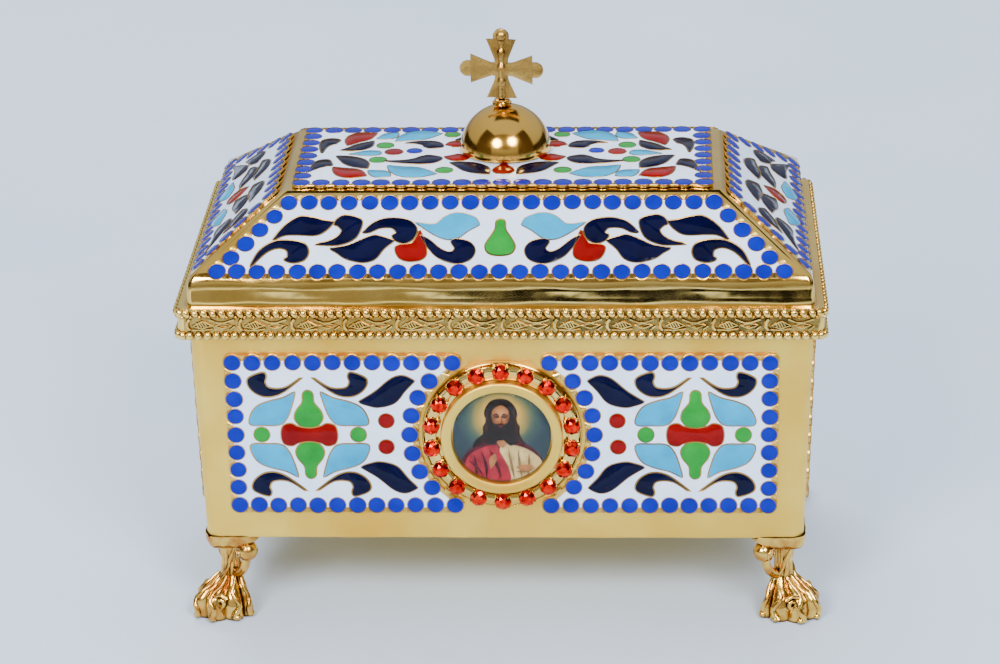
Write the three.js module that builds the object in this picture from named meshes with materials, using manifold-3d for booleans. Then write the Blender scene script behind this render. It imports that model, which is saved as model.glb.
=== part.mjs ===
// Reliquary casket: a gilded brass box with a lift-off hipped lid, cloisonne enamel plates,
// a stone-set round medallion, a domed finial with a cross, and four cast corner feet.
// Millimetres, +Z up. The origin is the middle of the footprint on the table; the front faces -Y.

import * as THREE from 'three';
import { mergeVertices } from 'three/addons/utils/BufferGeometryUtils.js';
import Module from 'manifold-3d';

const wasm = await Module();
wasm.setup();

// Clearances
const solder = 0.3;            // room left between soldered or seated pieces
const skirt_clearance = 0.3;   // room between the lid's skirt and the box wall

// Box
const body_w = 170;            // outside width at the rim
const body_d = 98.3;           // outside depth at the rim
const body_h = 69.3;           // underside to rim
const body_taper = 1.8;        // how far each wall draws in from rim to underside
const body_corner_r = 4;
const wall = 1.2;
const floor_t = 1.2;
const leg_h = 26.8;            // table to underside

// Lid
const lid_sheet = 1.0;
const fascia_step = 0.15;      // how far the fascia stands back from the rim's outside
const fascia_h = 7.05;
const lid_corner_r = 1.4;
const roof_rise = 17.4;
const top_w = 120;             // flat top, width
const top_d = 51.8;            // flat top, depth

// Ornamental strip round the lid's skirt
const band_h = 9.1;
const band_t = 1.7;            // the strip itself
const moulding_r = 1.6;        // half-round mouldings along its top and bottom edges
const band_corner_r = 3;
const boss_pitch = 14.2;       // one lozenge of the frieze to the next
const boss_w = 7.2;
const boss_h = 3.6;
const boss_rise = 0.7;

// Enamel plates with a border of round cells
const plate_t = 0.9;
const cell_r = 2.15;
const cell_rim = 0.45;         // metal round each border cell
const scallop_dip = 0.55;      // how far the edge draws in between two cells
const front_pitch = 5.4;       // border cells on the walls
const lid_pitch = 5.55;        // border cells on the lid
const wall_plate_margin = 11.9;// rim's outside to the outer column of cells
const wall_plate_h = 43.2;     // lowest to highest row of cells
const plate_sink = 2.25;       // middle of the walls' plates below mid-height
const slope_low_margin = 2.9;  // fascia edge to the lowest row, up the slope
const slope_top_margin = 4.4;  // highest row to the ridge edge
const hip_margin = 5.8;        // hip edge to the outermost cells, level
const top_margin_x = 4.6;
const top_margin_y = 3.8;

// Medallion
const picture_r = 13.5;
const picture_t = 0.8;
const glass_edge = 0.4;        // clear cover, thickness at its rim
const glass_rise = 1.1;        // how far its crown stands above the rim
const bezel_r = 16.8;
const bezel_h = 2.6;
const bezel_bevel = 0.8;
const flange_t = 0.9;
const flange_wire = 0.8;       // width of the wire round the flange's rim
const flange_groove = 0.35;    // depth of the groove inside that wire
const stone_count = 18;
const stone_r = 2.3;
const stone_h = 1.3;
const stone_table_r = 1.25;
const setting_h = 1.0;
const setting_bridge = 0.8;    // half-width of the link between two settings
const claw_margin = 0.15;      // setting beyond the stone
const cell_clearance = 0.75;   // flange rim to the scalloped edge of the plates
const arc_step = 13.1;         // degrees between the cells that follow the medallion
const arc_corner_gap = 10;     // least degrees from the last of them to the corner cell

// Finial
const dome_r = 12.75;
const dome_sheet = 1.0;
const dome_back = 5.0;         // the dome sits a little behind the middle
const finial_shift = 0.8;      // collar and cross stand left of the dome's crown
const collar_r = 2.9;
const collar_neck_r = 2.3;
const collar_h = 1.6;
const cross_arm = 8.7;         // crossing to the flared end
const cross_foot_arm = 8.3;    // crossing to the foot of the upright
const cross_tip = 11.8;        // crossing to the tip of a lobe
const cross_flare = 4.3;       // half-width of the flared end
const cross_waist = 1.9;       // half-width at the crossing
const cross_neck = 3.3;        // crossing to where the flare begins
const cross_lobe_r = 2.3;
const cross_t = 1.0;
const cross_pin_r = 1.3;       // round pin down the upright
const cross_turn = 6.5;        // degrees that its right arm comes forward

// Feet
const foot_reach = 12.6;       // ankle to the outermost toe
const foot_turn = 30;          // degrees from the long axis to the toes
const foot_inset_x = 5.4;      // ankle inside the underside's corner
const foot_inset_y = 9.0;
const foot_flutes = 9;
const flute_depth = 0.9;
const scroll_r = 3.0;
const scroll_out = 8.6;        // ankle to each scroll, sideways
const scroll_back = 1.6;
const scroll_bite = 1.0;       // how far a scroll is let into the seat
const scroll_arm_r = 1.3;
const seat_w = 17;             // leaf-edged seat between foot and box
const seat_d = 20;
const seat_t = 2.6;
const seat_r = 5;
const seat_draw = 1.4;         // how far its lower edge draws in
const seat_proud_x = 1.1;      // seat beyond the underside's edges
const seat_proud_y = 0.8;

// Heights that follow from the sizes above
const rim_z = leg_h + body_h;
const ledge_z = rim_z + solder;
const fascia_z = ledge_z + lid_sheet;
const roof_z = fascia_z + fascia_h;
const top_z = roof_z + roof_rise;
const plate_lift = solder + plate_t;
const dome_z = top_z + plate_lift + solder;
const collar_z = dome_z + dome_r + solder;
const cross_z = collar_z + collar_h + solder;
const plates_mid_h = body_h / 2 - plate_sink;
const front_lean = Math.atan2(body_taper, body_h);

// Half sizes of the lid's outline
const fascia_x = body_w / 2 - fascia_step;
const fascia_y = body_d / 2 - fascia_step;
const band_in_x = body_w / 2 + skirt_clearance;
const band_in_y = body_d / 2 + skirt_clearance;

const material = (color, roughness, metalness) =>
  new THREE.MeshStandardMaterial({ color, roughness, metalness });

const finish = {
  gilt: () => material(0xd9bd73, 0.28, 1),
  antique: () => material(0xc79a45, 0.35, 1),
  enamel: () => material(0xe4ebf2, 0.22, 0),
  stone: () => material(0xdc2a10, 0.08, 0),
  picture: () => material(0x5a6066, 0.5, 0),
  glass: () => material(0xeef4f4, 0.05, 0),
};

const casket = new THREE.Group();

function place(name, geometry, look, parent = casket) {
  const mesh = new THREE.Mesh(geometry, look);
  mesh.name = name;
  parent.add(mesh);
  return mesh;
}

// A closed skin over a stack of rings. Each ring runs counter-clockwise seen from above,
// and the stack runs upwards on the outside of the piece.
function loft(rings) {
  const count = rings[0].length;
  const positions = rings.flat(2);
  const index = [];
  for (let level = 0; level + 1 < rings.length; level += 1) {
    for (let i = 0; i < count; i += 1) {
      const next = (i + 1) % count;
      const a = level * count + i;
      const b = level * count + next;
      index.push(a, b, b + count, a, b + count, a + count);
    }
  }
  const last = (rings.length - 1) * count;
  for (let i = 1; i + 1 < count; i += 1) {
    index.push(0, i + 1, i);
    index.push(last, last + i, last + i + 1);
  }
  const geometry = new THREE.BufferGeometry();
  geometry.setAttribute('position', new THREE.Float32BufferAttribute(positions, 3));
  geometry.setIndex(index);
  return geometry;
}

// A level rectangle with rounded corners, as a ring of points
function roundedRing(half_x, half_y, radius, z, steps = 3) {
  const corners = [[1, 1], [-1, 1], [-1, -1], [1, -1]];
  const ring = [];
  corners.forEach(([sx, sy], quarter) => {
    for (let step = 0; step <= steps; step += 1) {
      const angle = (quarter + step / steps) * Math.PI / 2;
      const x = sx * (half_x - radius) + radius * Math.cos(angle);
      const y = sy * (half_y - radius) + radius * Math.sin(angle);
      ring.push([x, y, z]);
    }
  });
  return ring;
}

function toSolid(geometry) {
  const bare = geometry.clone();
  bare.deleteAttribute('normal');
  bare.deleteAttribute('uv');
  const merged = mergeVertices(bare, 1e-5);
  return new wasm.Manifold(new wasm.Mesh({
    numProp: 3,
    vertProperties: new Float32Array(merged.attributes.position.array),
    triVerts: new Uint32Array(merged.index.array),
  }));
}

function fromSolid(solid) {
  const mesh = solid.getMesh();
  const geometry = new THREE.BufferGeometry();
  const positions = new Float32Array(mesh.vertProperties);
  geometry.setAttribute('position', new THREE.BufferAttribute(positions, 3));
  geometry.setIndex(new THREE.BufferAttribute(new Uint32Array(mesh.triVerts), 1));
  return geometry;
}

// Puts a piece made flat in X and Y, facing +Z, on a leaning face of the casket.
// turn is the heading of the face about the upright axis, lean its tilt from upright.
function onFace(mesh, x, y, z, turn, lean) {
  mesh.rotation.order = 'ZXY';
  mesh.rotation.z = turn;
  mesh.rotation.x = Math.PI / 2 - lean;
  mesh.position.set(x, y, z);
  return mesh;
}

// Cells along a closed border: the corners in order, with the cells between two corners
// spaced as near to the pitch as a whole number of them allows
function borderCells(corners, pitch) {
  const cells = [];
  corners.forEach((corner, i) => {
    const next = corners[(i + 1) % corners.length];
    const length = corner.distanceTo(next);
    const steps = Math.max(1, Math.round(length / pitch));
    for (let step = 0; step < steps; step += 1) {
      cells.push(corner.clone().lerp(next, step / steps));
    }
  });
  return cells;
}

const outward = (from, to) => new THREE.Vector2(to.y - from.y, from.x - to.x).normalize();

// The scalloped outline of a plate: it swells round each border cell and dips between two
function scalloped(cells) {
  const edge = cell_r + cell_rim;
  const points = [];
  cells.forEach((cell, i) => {
    const before = cells[(i + cells.length - 1) % cells.length];
    const after = cells[(i + 1) % cells.length];
    const away_in = outward(before, cell);
    const away_out = outward(cell, after);
    const corner = away_in.dot(away_out) < 0.8;
    if (corner) points.push(cell.clone().addScaledVector(away_in, edge));
    const middle = away_in.clone().add(away_out).normalize();
    points.push(cell.clone().addScaledVector(middle, edge));
    if (corner) points.push(cell.clone().addScaledVector(away_out, edge));
    const gap = cell.clone().lerp(after, 0.5);
    points.push(gap.addScaledVector(away_out, edge - scallop_dip));
  });
  return points;
}

function straightEdged(half_w, half_h) {
  const edge = cell_r + cell_rim;
  const x = half_w + edge;
  const y = half_h + edge;
  return [[-x, -y], [x, -y], [x, y], [-x, y]].map(([a, b]) => new THREE.Vector2(a, b));
}

function plateGeometry(outline) {
  const shape = new THREE.Shape(outline);
  return new THREE.ExtrudeGeometry(shape, { depth: plate_t, bevelEnabled: false });
}

// Box: four drawn-in walls with rounded upright corners, and a floor
function makeBox() {
  const top_x = body_w / 2;
  const top_y = body_d / 2;
  const low_x = top_x - body_taper;
  const low_y = top_y - body_taper;
  const share = floor_t / body_h;
  const floor_x = low_x + body_taper * share - wall;
  const floor_y = low_y + body_taper * share - wall;
  const inner_r = Math.max(body_corner_r - wall, 0.4);
  place('box_body', loft([
    roundedRing(low_x, low_y, body_corner_r, leg_h),
    roundedRing(top_x, top_y, body_corner_r, rim_z),
    roundedRing(top_x - wall, top_y - wall, inner_r, rim_z),
    roundedRing(floor_x, floor_y, inner_r, leg_h + floor_t),
  ]), finish.gilt());
}

// Lid: a ledge that lies on the rim, an upright fascia, four slopes and a flat top, in sheet
function makeLidShell() {
  const ledge_x = band_in_x - solder;
  const ledge_y = band_in_y - solder;
  const ledge_r = band_corner_r - band_t - solder;
  const slope = Math.hypot(fascia_y - top_d / 2, roof_rise);
  const under = lid_sheet * (slope / (fascia_y - top_d / 2) - 1);
  const inner_r = Math.max(lid_corner_r - lid_sheet, 0.3);
  const ring = (x, y, r, z) => roundedRing(x, y, r, z, 2);
  place('lid_shell', loft([
    ring(top_w / 2 - lid_sheet, top_d / 2 - lid_sheet, inner_r, top_z - lid_sheet),
    ring(fascia_x - lid_sheet, fascia_y - lid_sheet, inner_r, roof_z - under),
    ring(fascia_x - lid_sheet, fascia_y - lid_sheet, inner_r, ledge_z),
    ring(ledge_x, ledge_y, ledge_r, ledge_z),
    ring(ledge_x, ledge_y, ledge_r, fascia_z),
    ring(fascia_x, fascia_y, lid_corner_r, fascia_z),
    ring(fascia_x, fascia_y, lid_corner_r, roof_z),
    ring(top_w / 2, top_d / 2, lid_corner_r, top_z),
  ]), finish.gilt());
}

// A four-sided boss of the frieze, pointing to -Y, with its base sunk into the strip
function bossSolid(x, y, turn) {
  const boss = new THREE.ConeGeometry(1, 1, 4);
  boss.scale(boss_w / 2, boss_rise + band_t / 2, boss_h / 2);
  boss.rotateX(Math.PI / 2);
  boss.translate(0, -(boss_rise + band_t / 2) / 2 + band_t / 2, 0);
  boss.rotateZ(turn);
  boss.translate(x, y, fascia_z - band_h / 2);
  return toSolid(boss);
}

// Skirt strip soldered round the ledge's edge, flush with its upper side and hanging over the
// box wall: half-round mouldings along both edges and a frieze of lozenges
function makeBand() {
  const z_top = fascia_z;
  const z_low = z_top - band_h;
  const ring = (out, z) => {
    const x = band_in_x + out;
    const y = band_in_y + out;
    return roundedRing(x, y, Math.max(band_corner_r - band_t + out, 0.5), z);
  };
  const rounded = (centre, from, to, steps) => {
    const rings = [];
    for (let step = 0; step <= steps; step += 1) {
      const angle = from + (to - from) * step / steps;
      rings.push(ring(band_t + moulding_r * Math.cos(angle), centre + moulding_r * Math.sin(angle)));
    }
    return rings;
  };
  const quarter = Math.PI / 2;
  const mouldings = [
    ...rounded(z_low + moulding_r, -quarter, quarter, 3),
    ...rounded(z_top - moulding_r, -quarter, quarter, 3),
  ];
  const rings = [...mouldings, ring(0, z_top), ring(0, z_low)];
  const count = rings[0].length;
  const index = [];
  rings.forEach((_, level) => {
    const above = (level + 1) % rings.length;
    for (let i = 0; i < count; i += 1) {
      const next = (i + 1) % count;
      const a = level * count + i;
      const b = level * count + next;
      const c = above * count + next;
      const d = above * count + i;
      index.push(a, b, c, a, c, d);
    }
  });
  const strip = new THREE.BufferGeometry();
  strip.setAttribute('position', new THREE.Float32BufferAttribute(rings.flat(2), 3));
  strip.setIndex(index);

  let band = toSolid(strip);
  const face_x = band_in_x + band_t;
  const face_y = band_in_y + band_t;
  const runs = [
    { length: 2 * (face_x - band_corner_r), turn: 0, at: (s) => [s, -face_y] },
    { length: 2 * (face_x - band_corner_r), turn: Math.PI, at: (s) => [-s, face_y] },
    { length: 2 * (face_y - band_corner_r), turn: quarter, at: (s) => [face_x, s] },
    { length: 2 * (face_y - band_corner_r), turn: -quarter, at: (s) => [-face_x, -s] },
  ];
  runs.forEach(({ length, turn, at }) => {
    const bosses = Math.floor((length - boss_w) / boss_pitch) + 1;
    for (let i = 0; i < bosses; i += 1) {
      const [x, y] = at((i - (bosses - 1) / 2) * boss_pitch);
      band = band.add(bossSolid(x, y, turn));
    }
  });
  place('lid_band', fromSolid(band), finish.antique());
}

// Places of the four faces: heading, middle of the face, and half-width
const headings = {
  front: { turn: 0, dir: [0, -1], half: body_w / 2, reach: body_d / 2 },
  right: { turn: Math.PI / 2, dir: [1, 0], half: body_d / 2, reach: body_w / 2 },
  back: { turn: Math.PI, dir: [0, 1], half: body_w / 2, reach: body_d / 2 },
  left: { turn: -Math.PI / 2, dir: [-1, 0], half: body_d / 2, reach: body_w / 2 },
};

// A piece on a wall of the box, lift out from it, centred at the plates' mid-height
function onWall(mesh, side, lift) {
  const { turn, dir, reach } = headings[side];
  const drawn_in = body_taper * (1 - plates_mid_h / body_h);
  const out = reach - drawn_in + lift * Math.cos(front_lean);
  const z = leg_h + plates_mid_h - lift * Math.sin(front_lean);
  return onFace(mesh, dir[0] * out, dir[1] * out, z, turn, -front_lean);
}

// Radii that the medallion sets for the plates beside it
const stone_ring_r = bezel_r + solder + stone_r + claw_margin;
const flange_r = stone_ring_r + stone_r + claw_margin;
const arc_r = flange_r + cell_clearance + cell_rim + cell_r;

// Border cells of the plate to the left of the medallion, counter-clockwise
function frontPlateCells() {
  const half_h = wall_plate_h / 2;
  const outer_x = body_w / 2 - wall_plate_margin;
  const inner_x = Math.sqrt(Math.max(arc_r * arc_r - half_h * half_h, 1));
  const corner_angle = THREE.MathUtils.radToDeg(Math.atan2(half_h, inner_x));
  const arc_half = Math.floor((corner_angle - arc_corner_gap) / arc_step);
  const low = new THREE.Vector2(-outer_x, -half_h);
  const low_in = new THREE.Vector2(-inner_x, -half_h);
  const high_in = new THREE.Vector2(-inner_x, half_h);
  const high = new THREE.Vector2(-outer_x, half_h);
  const along = (a, b) => {
    const steps = Math.max(1, Math.round(a.distanceTo(b) / front_pitch));
    return Array.from({ length: steps }, (_, i) => a.clone().lerp(b, i / steps));
  };
  const arc = [];
  for (let i = -arc_half; i <= arc_half; i += 1) {
    const angle = THREE.MathUtils.degToRad(180 - i * arc_step);
    arc.push(new THREE.Vector2(arc_r * Math.cos(angle), arc_r * Math.sin(angle)));
  }
  return [...along(low, low_in), low_in, ...arc, ...along(high_in, high), ...along(high, low)];
}

function makeWallPlates() {
  const left = scalloped(frontPlateCells());
  const right = left.map((p) => new THREE.Vector2(-p.x, p.y)).reverse();
  onWall(place('plate_front_left', plateGeometry(left), finish.enamel()), 'front', solder);
  onWall(place('plate_front_right', plateGeometry(right), finish.enamel()), 'front', solder);
  ['right', 'back', 'left'].forEach((side) => {
    const half_w = headings[side].half - wall_plate_margin;
    const outline = straightEdged(half_w, wall_plate_h / 2);
    onWall(place(`plate_${side}`, plateGeometry(outline), finish.enamel()), side, solder);
  });
}

// The four sloping plates of the lid and the flat one on top
function makeLidPlates() {
  const slopes = {
    front: { half_low: fascia_x, half_top: top_w / 2, from: fascia_y, to: top_d / 2 },
    right: { half_low: fascia_y, half_top: top_d / 2, from: fascia_x, to: top_w / 2 },
    back: { half_low: fascia_x, half_top: top_w / 2, from: fascia_y, to: top_d / 2 },
    left: { half_low: fascia_y, half_top: top_d / 2, from: fascia_x, to: top_w / 2 },
  };
  Object.entries(slopes).forEach(([side, { half_low, half_top, from, to }]) => {
    const { turn, dir } = headings[side];
    const run = from - to;
    const length = Math.hypot(run, roof_rise);
    const lean = Math.atan2(run, roof_rise);
    const width_at = (v) => half_low + (half_top - half_low) * v / length - hip_margin;
    const low_v = slope_low_margin;
    const top_v = length - slope_top_margin;
    const corners = [
      new THREE.Vector2(-width_at(low_v), low_v),
      new THREE.Vector2(width_at(low_v), low_v),
      new THREE.Vector2(width_at(top_v), top_v),
      new THREE.Vector2(-width_at(top_v), top_v),
    ];
    const outline = scalloped(borderCells(corners, lid_pitch));
    const plate = place(`plate_slope_${side}`, plateGeometry(outline), finish.enamel());
    const out = from + solder * Math.cos(lean);
    onFace(plate, dir[0] * out, dir[1] * out, roof_z + solder * Math.sin(lean), turn, lean);
  });
  const x = top_w / 2 - top_margin_x;
  const y = top_d / 2 - top_margin_y;
  const corners = [[-x, -y], [x, -y], [x, y], [-x, y]].map(([a, b]) => new THREE.Vector2(a, b));
  const outline = scalloped(borderCells(corners, lid_pitch));
  const top = place('plate_top', plateGeometry(outline), finish.enamel());
  top.position.z = top_z + solder;
}

// A turned piece of the medallion: profile of radius and height above the wall
function turned(profile, sides) {
  const points = profile.map(([r, h]) => new THREE.Vector2(r, h));
  const geometry = new THREE.LatheGeometry(points, sides);
  geometry.rotateX(Math.PI / 2);
  return geometry;
}

// The chain of stone settings: a ring that swells round each stone
function settingGeometry() {
  const steps = stone_count * 3;
  const radius = (i, sign) => {
    const swell = 0.5 + 0.5 * Math.cos(stone_count * 2 * Math.PI * i / steps);
    const half = setting_bridge + (stone_r + claw_margin - setting_bridge) * swell;
    return stone_ring_r + sign * half;
  };
  const loop = (sign) => Array.from({ length: steps }, (_, i) => {
    const angle = 2 * Math.PI * i / steps;
    return new THREE.Vector2(Math.cos(angle), Math.sin(angle)).multiplyScalar(radius(i, sign));
  });
  const shape = new THREE.Shape(loop(1));
  shape.holes.push(new THREE.Path(loop(-1).reverse()));
  return new THREE.ExtrudeGeometry(shape, { depth: setting_h, bevelEnabled: false });
}

// Medallion on the front wall: flange, ring of stones in settings, bezel, picture and cover
function makeMedallion() {
  const wire_r = flange_r - flange_wire;
  const low = flange_t - flange_groove;
  const flange = turned([
    [0, 0], [flange_r, 0], [flange_r, low], [flange_r - flange_wire / 2, flange_t],
    [wire_r, low], [wire_r - flange_groove, flange_t], [0, flange_t],
  ], 32);
  onWall(place('medallion_flange', flange, finish.gilt()), 'front', solder);

  const on_flange = solder + flange_t + solder;
  const settings = settingGeometry();
  settings.rotateZ(Math.PI / 2);
  onWall(place('stone_settings', settings, finish.gilt()), 'front', on_flange);

  const stones = onWall(new THREE.Group(), 'front', on_flange + setting_h + solder);
  casket.add(stones);
  for (let i = 0; i < stone_count; i += 1) {
    const angle = Math.PI / 2 + 2 * Math.PI * i / stone_count;
    const stone = new THREE.CylinderGeometry(stone_table_r, stone_r, stone_h, 8);
    stone.rotateX(Math.PI / 2);
    const name = `stone_${String(i + 1).padStart(2, '0')}`;
    const mesh = place(name, stone, finish.stone(), stones);
    mesh.position.set(Math.cos(angle), Math.sin(angle), 0).multiplyScalar(stone_ring_r);
    mesh.position.z = stone_h / 2;
  }

  const picture_seat = picture_r + solder;
  const bezel = turned([
    [picture_seat, 0], [bezel_r, 0], [bezel_r, bezel_h - bezel_bevel],
    [bezel_r - bezel_bevel, bezel_h], [picture_seat, bezel_h - bezel_bevel], [picture_seat, 0],
  ], 32);
  onWall(place('medallion_bezel', bezel, finish.gilt()), 'front', on_flange);

  const picture = turned([[0, 0], [picture_r, 0], [picture_r, picture_t], [0, picture_t]], 20);
  onWall(place('picture_disc', picture, finish.picture()), 'front', on_flange);

  const cover_z = on_flange + picture_t + solder;
  const cover_r = picture_r;
  const cover = [[0, 0], [cover_r, 0]];
  for (let step = 0; step <= 3; step += 1) {
    const share = 1 - step / 3;
    cover.push([cover_r * share, glass_edge + glass_rise * (1 - share * share)]);
  }
  onWall(place('picture_cover', turned(cover, 20), finish.glass()), 'front', cover_z);
}

// Dome: a raised sheet hemisphere, open below, with a stepped collar on its crown
function makeDome() {
  const quarterArc = (r, steps) => Array.from({ length: steps + 1 }, (_, step) => {
    const angle = Math.PI / 2 * step / steps;
    return [step === steps ? 0 : r * Math.cos(angle), r * Math.sin(angle)];
  });
  const outer = quarterArc(dome_r, 5);
  const inner = quarterArc(dome_r - dome_sheet, 3).reverse();
  const dome = place('dome', turned([...inner, ...outer], 24), finish.gilt());
  dome.position.set(0, dome_back, dome_z);

  const collar = turned([
    [0, 0], [collar_r, 0], [collar_r, collar_h * 0.45], [collar_neck_r, collar_h * 0.6],
    [collar_neck_r, collar_h], [0, collar_h],
  ], 14);
  place('finial_collar', collar, finish.gilt()).position.set(-finial_shift, dome_back, collar_z);
}

// One arm of the cross, along +Y from the crossing: a straight neck that flares, with a round
// lobe at the tip where the arm is free
function crossArm(length, has_lobe) {
  const shape = new THREE.Shape();
  shape.moveTo(-cross_waist, 0);
  shape.lineTo(cross_waist, 0);
  shape.lineTo(cross_waist, cross_neck);
  shape.lineTo(cross_flare, length);
  if (has_lobe) {
    const lobe_y = cross_tip - cross_lobe_r;
    const below = Math.asin(Math.min((lobe_y - length) / cross_lobe_r, 1));
    const x = cross_lobe_r * Math.cos(below);
    shape.lineTo(x, length);
    shape.absarc(0, lobe_y, cross_lobe_r, -below, Math.PI + below, false);
  }
  shape.lineTo(-cross_flare, length);
  shape.lineTo(-cross_waist, cross_neck);
  shape.closePath();
  const settings = { depth: cross_t, bevelEnabled: false, curveSegments: 4 };
  return new THREE.ExtrudeGeometry(shape, settings);
}

// Cross: three flared arms with lobes, a flared foot, and a round pin down the upright
function makeCross() {
  let solid = null;
  for (let arm = 0; arm < 4; arm += 1) {
    const is_foot = arm === 2;
    const geometry = crossArm(is_foot ? cross_foot_arm : cross_arm, !is_foot);
    geometry.rotateZ(arm * Math.PI / 2);
    const next = toSolid(geometry);
    solid = solid ? solid.add(next) : next;
  }
  const pin_length = cross_arm + cross_foot_arm;
  const pin = new THREE.CylinderGeometry(cross_pin_r, cross_pin_r, pin_length, 8);
  pin.translate(0, (cross_arm - cross_foot_arm) / 2, cross_t / 2);
  solid = solid.add(toSolid(pin));
  const cross = place('cross', fromSolid(solid), finish.antique());
  cross.geometry.translate(0, cross_foot_arm, -cross_t / 2);
  const turn = -THREE.MathUtils.degToRad(cross_turn);
  onFace(cross, -finial_shift, dome_back, cross_z, turn, 0);
}

const ankle_share = 0.465;     // height of the ankle, where the scrolls' strands leave it

// Sections of a foot, table to seat: share of the height, and the reach outwards, inwards
// and sideways from the ankle as shares of the toes' reach; the last value fades the flutes
const foot_sections = [
  [0.000, 0.84, 0.44, 0.60, 0.3],
  [0.036, 0.93, 0.45, 0.65, 0.3],
  [0.080, 0.93, 0.40, 0.60, 1.0],
  [0.150, 1.00, 0.37, 0.62, 1.0],
  [0.225, 0.97, 0.34, 0.57, 1.0],
  [0.300, 0.82, 0.31, 0.48, 0.9],
  [0.385, 0.50, 0.27, 0.34, 0.6],
  [ankle_share, 0.28, 0.23, 0.24, 0.2],
  [0.640, 0.24, 0.20, 0.19, 0.0],
  [0.940, 0.40, 0.20, 0.30, 0.0],
];

// Foot: a fluted paw, a narrow ankle, two scrolls on strands, and the seat under the box.
// Made with the toes along +X; the seat lies square to the box, so it is turned back by the
// foot's heading, and side_x and side_y say which corner the foot stands under.
function footGeometry(heading, side_x, side_y) {
  const height = leg_h - solder;
  const around = foot_flutes * 2;
  const rings = foot_sections.map(([share, out, back, side, fluted]) => {
    const ring = [];
    for (let i = 0; i < around; i += 1) {
      const angle = 2 * Math.PI * i / around;
      const groove = i % 2 === 1 ? flute_depth * fluted : 0;
      const along = (Math.cos(angle) > 0 ? out : back) * foot_reach - groove;
      const across = side * foot_reach - groove;
      ring.push([along * Math.cos(angle), across * Math.sin(angle), share * height]);
    }
    return ring;
  });

  const seat_low = height - seat_t;
  const seat_ring = (draw, z) =>
    roundedRing(seat_w / 2 - draw, seat_d / 2 - draw, seat_r - draw, z);
  const seat = loft([
    seat_ring(seat_draw, seat_low),
    seat_ring(0, height - seat_t / 2),
    seat_ring(0, height),
  ]);
  const seat_x = foot_inset_x + seat_proud_x - seat_w / 2;
  const seat_y = foot_inset_y + seat_proud_y - seat_d / 2;
  seat.translate(side_x * seat_x, side_y * seat_y, 0);
  seat.rotateZ(-heading);

  let solid = toSolid(loft(rings)).add(toSolid(seat));
  const scroll_z = seat_low + scroll_bite - scroll_r;
  const fork_z = height * ankle_share;
  [-1, 1].forEach((sign) => {
    const from = new THREE.Vector3(0, 0, fork_z);
    const to = new THREE.Vector3(-scroll_back, sign * scroll_out, scroll_z);
    const elbow = new THREE.Vector3(-scroll_back, sign * scroll_out * 0.8, fork_z);
    const curve = new THREE.QuadraticBezierCurve3(from, elbow, to);
    const outline = new THREE.Shape().absarc(0, 0, scroll_arm_r, 0, 2 * Math.PI, false);
    const arm = new THREE.ExtrudeGeometry(outline, {
      extrudePath: curve, steps: 3, curveSegments: 3, bevelEnabled: false,
    });
    const ball = new THREE.SphereGeometry(scroll_r, 8, 4);
    ball.translate(to.x, to.y, to.z);
    solid = solid.add(toSolid(arm)).add(toSolid(ball));
  });
  return fromSolid(solid);
}

function makeFeet() {
  const x = body_w / 2 - body_taper - foot_inset_x;
  const y = body_d / 2 - body_taper - foot_inset_y;
  const turn = THREE.MathUtils.degToRad(foot_turn);
  const places = [
    ['foot_front_left', -1, -1, Math.PI + turn],
    ['foot_front_right', 1, -1, -turn],
    ['foot_back_right', 1, 1, turn],
    ['foot_back_left', -1, 1, Math.PI - turn],
  ];
  places.forEach(([name, sx, sy, heading]) => {
    const foot = place(name, footGeometry(heading, sx, sy), finish.antique());
    foot.position.set(sx * x, sy * y, 0);
    foot.rotation.z = heading;
  });
}

makeBox();
makeFeet();
makeLidShell();
makeBand();
makeWallPlates();
makeLidPlates();
makeMedallion();
makeDome();
makeCross();

export default casket;
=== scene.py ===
# %% [markdown]
# # A gilded casket with enamel plates
# The casket is a sheet metal box on four cast feet, under a lid like a hipped roof. Enamel
# plates, a medallion with red stones and a small cross dress it. Its solids already exist at
# their real size, so this script only makes the surfaces that the eye sees, around them.

# %% Start
import bpy
import random
from math import asin, atan2, copysign, cos, dist, exp, hypot, pi, radians, sin, sqrt
from mathutils import Matrix, Vector


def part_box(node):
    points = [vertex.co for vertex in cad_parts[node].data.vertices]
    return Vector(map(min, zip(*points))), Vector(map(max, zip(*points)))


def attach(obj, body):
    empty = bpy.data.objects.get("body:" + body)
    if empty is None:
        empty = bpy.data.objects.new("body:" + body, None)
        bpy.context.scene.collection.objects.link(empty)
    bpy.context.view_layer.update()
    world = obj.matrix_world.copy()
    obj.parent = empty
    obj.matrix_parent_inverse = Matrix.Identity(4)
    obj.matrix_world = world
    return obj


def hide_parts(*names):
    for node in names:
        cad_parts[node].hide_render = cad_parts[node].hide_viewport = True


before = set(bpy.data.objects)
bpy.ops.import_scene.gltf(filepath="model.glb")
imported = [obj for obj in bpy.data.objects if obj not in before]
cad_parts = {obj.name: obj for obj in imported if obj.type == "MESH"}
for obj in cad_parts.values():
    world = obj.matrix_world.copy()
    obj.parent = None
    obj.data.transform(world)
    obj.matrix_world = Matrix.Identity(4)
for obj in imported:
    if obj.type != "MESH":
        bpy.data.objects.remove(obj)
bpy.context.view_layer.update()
random.seed(7)
print("nodes in the frame:", len(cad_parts))

# %% [markdown]
# ## Working in millimetres
# Makers of such pieces think in millimetres and Blender in metres. Each piece is collected as
# points in millimetres and scaled once, when its mesh is made. A piece could also be made from
# Blender's own primitives, but plain lists of points let each ornament follow a formula.

# %% One collector for every piece
MM = 0.001
UP = Vector((0, 0, 1))


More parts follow.
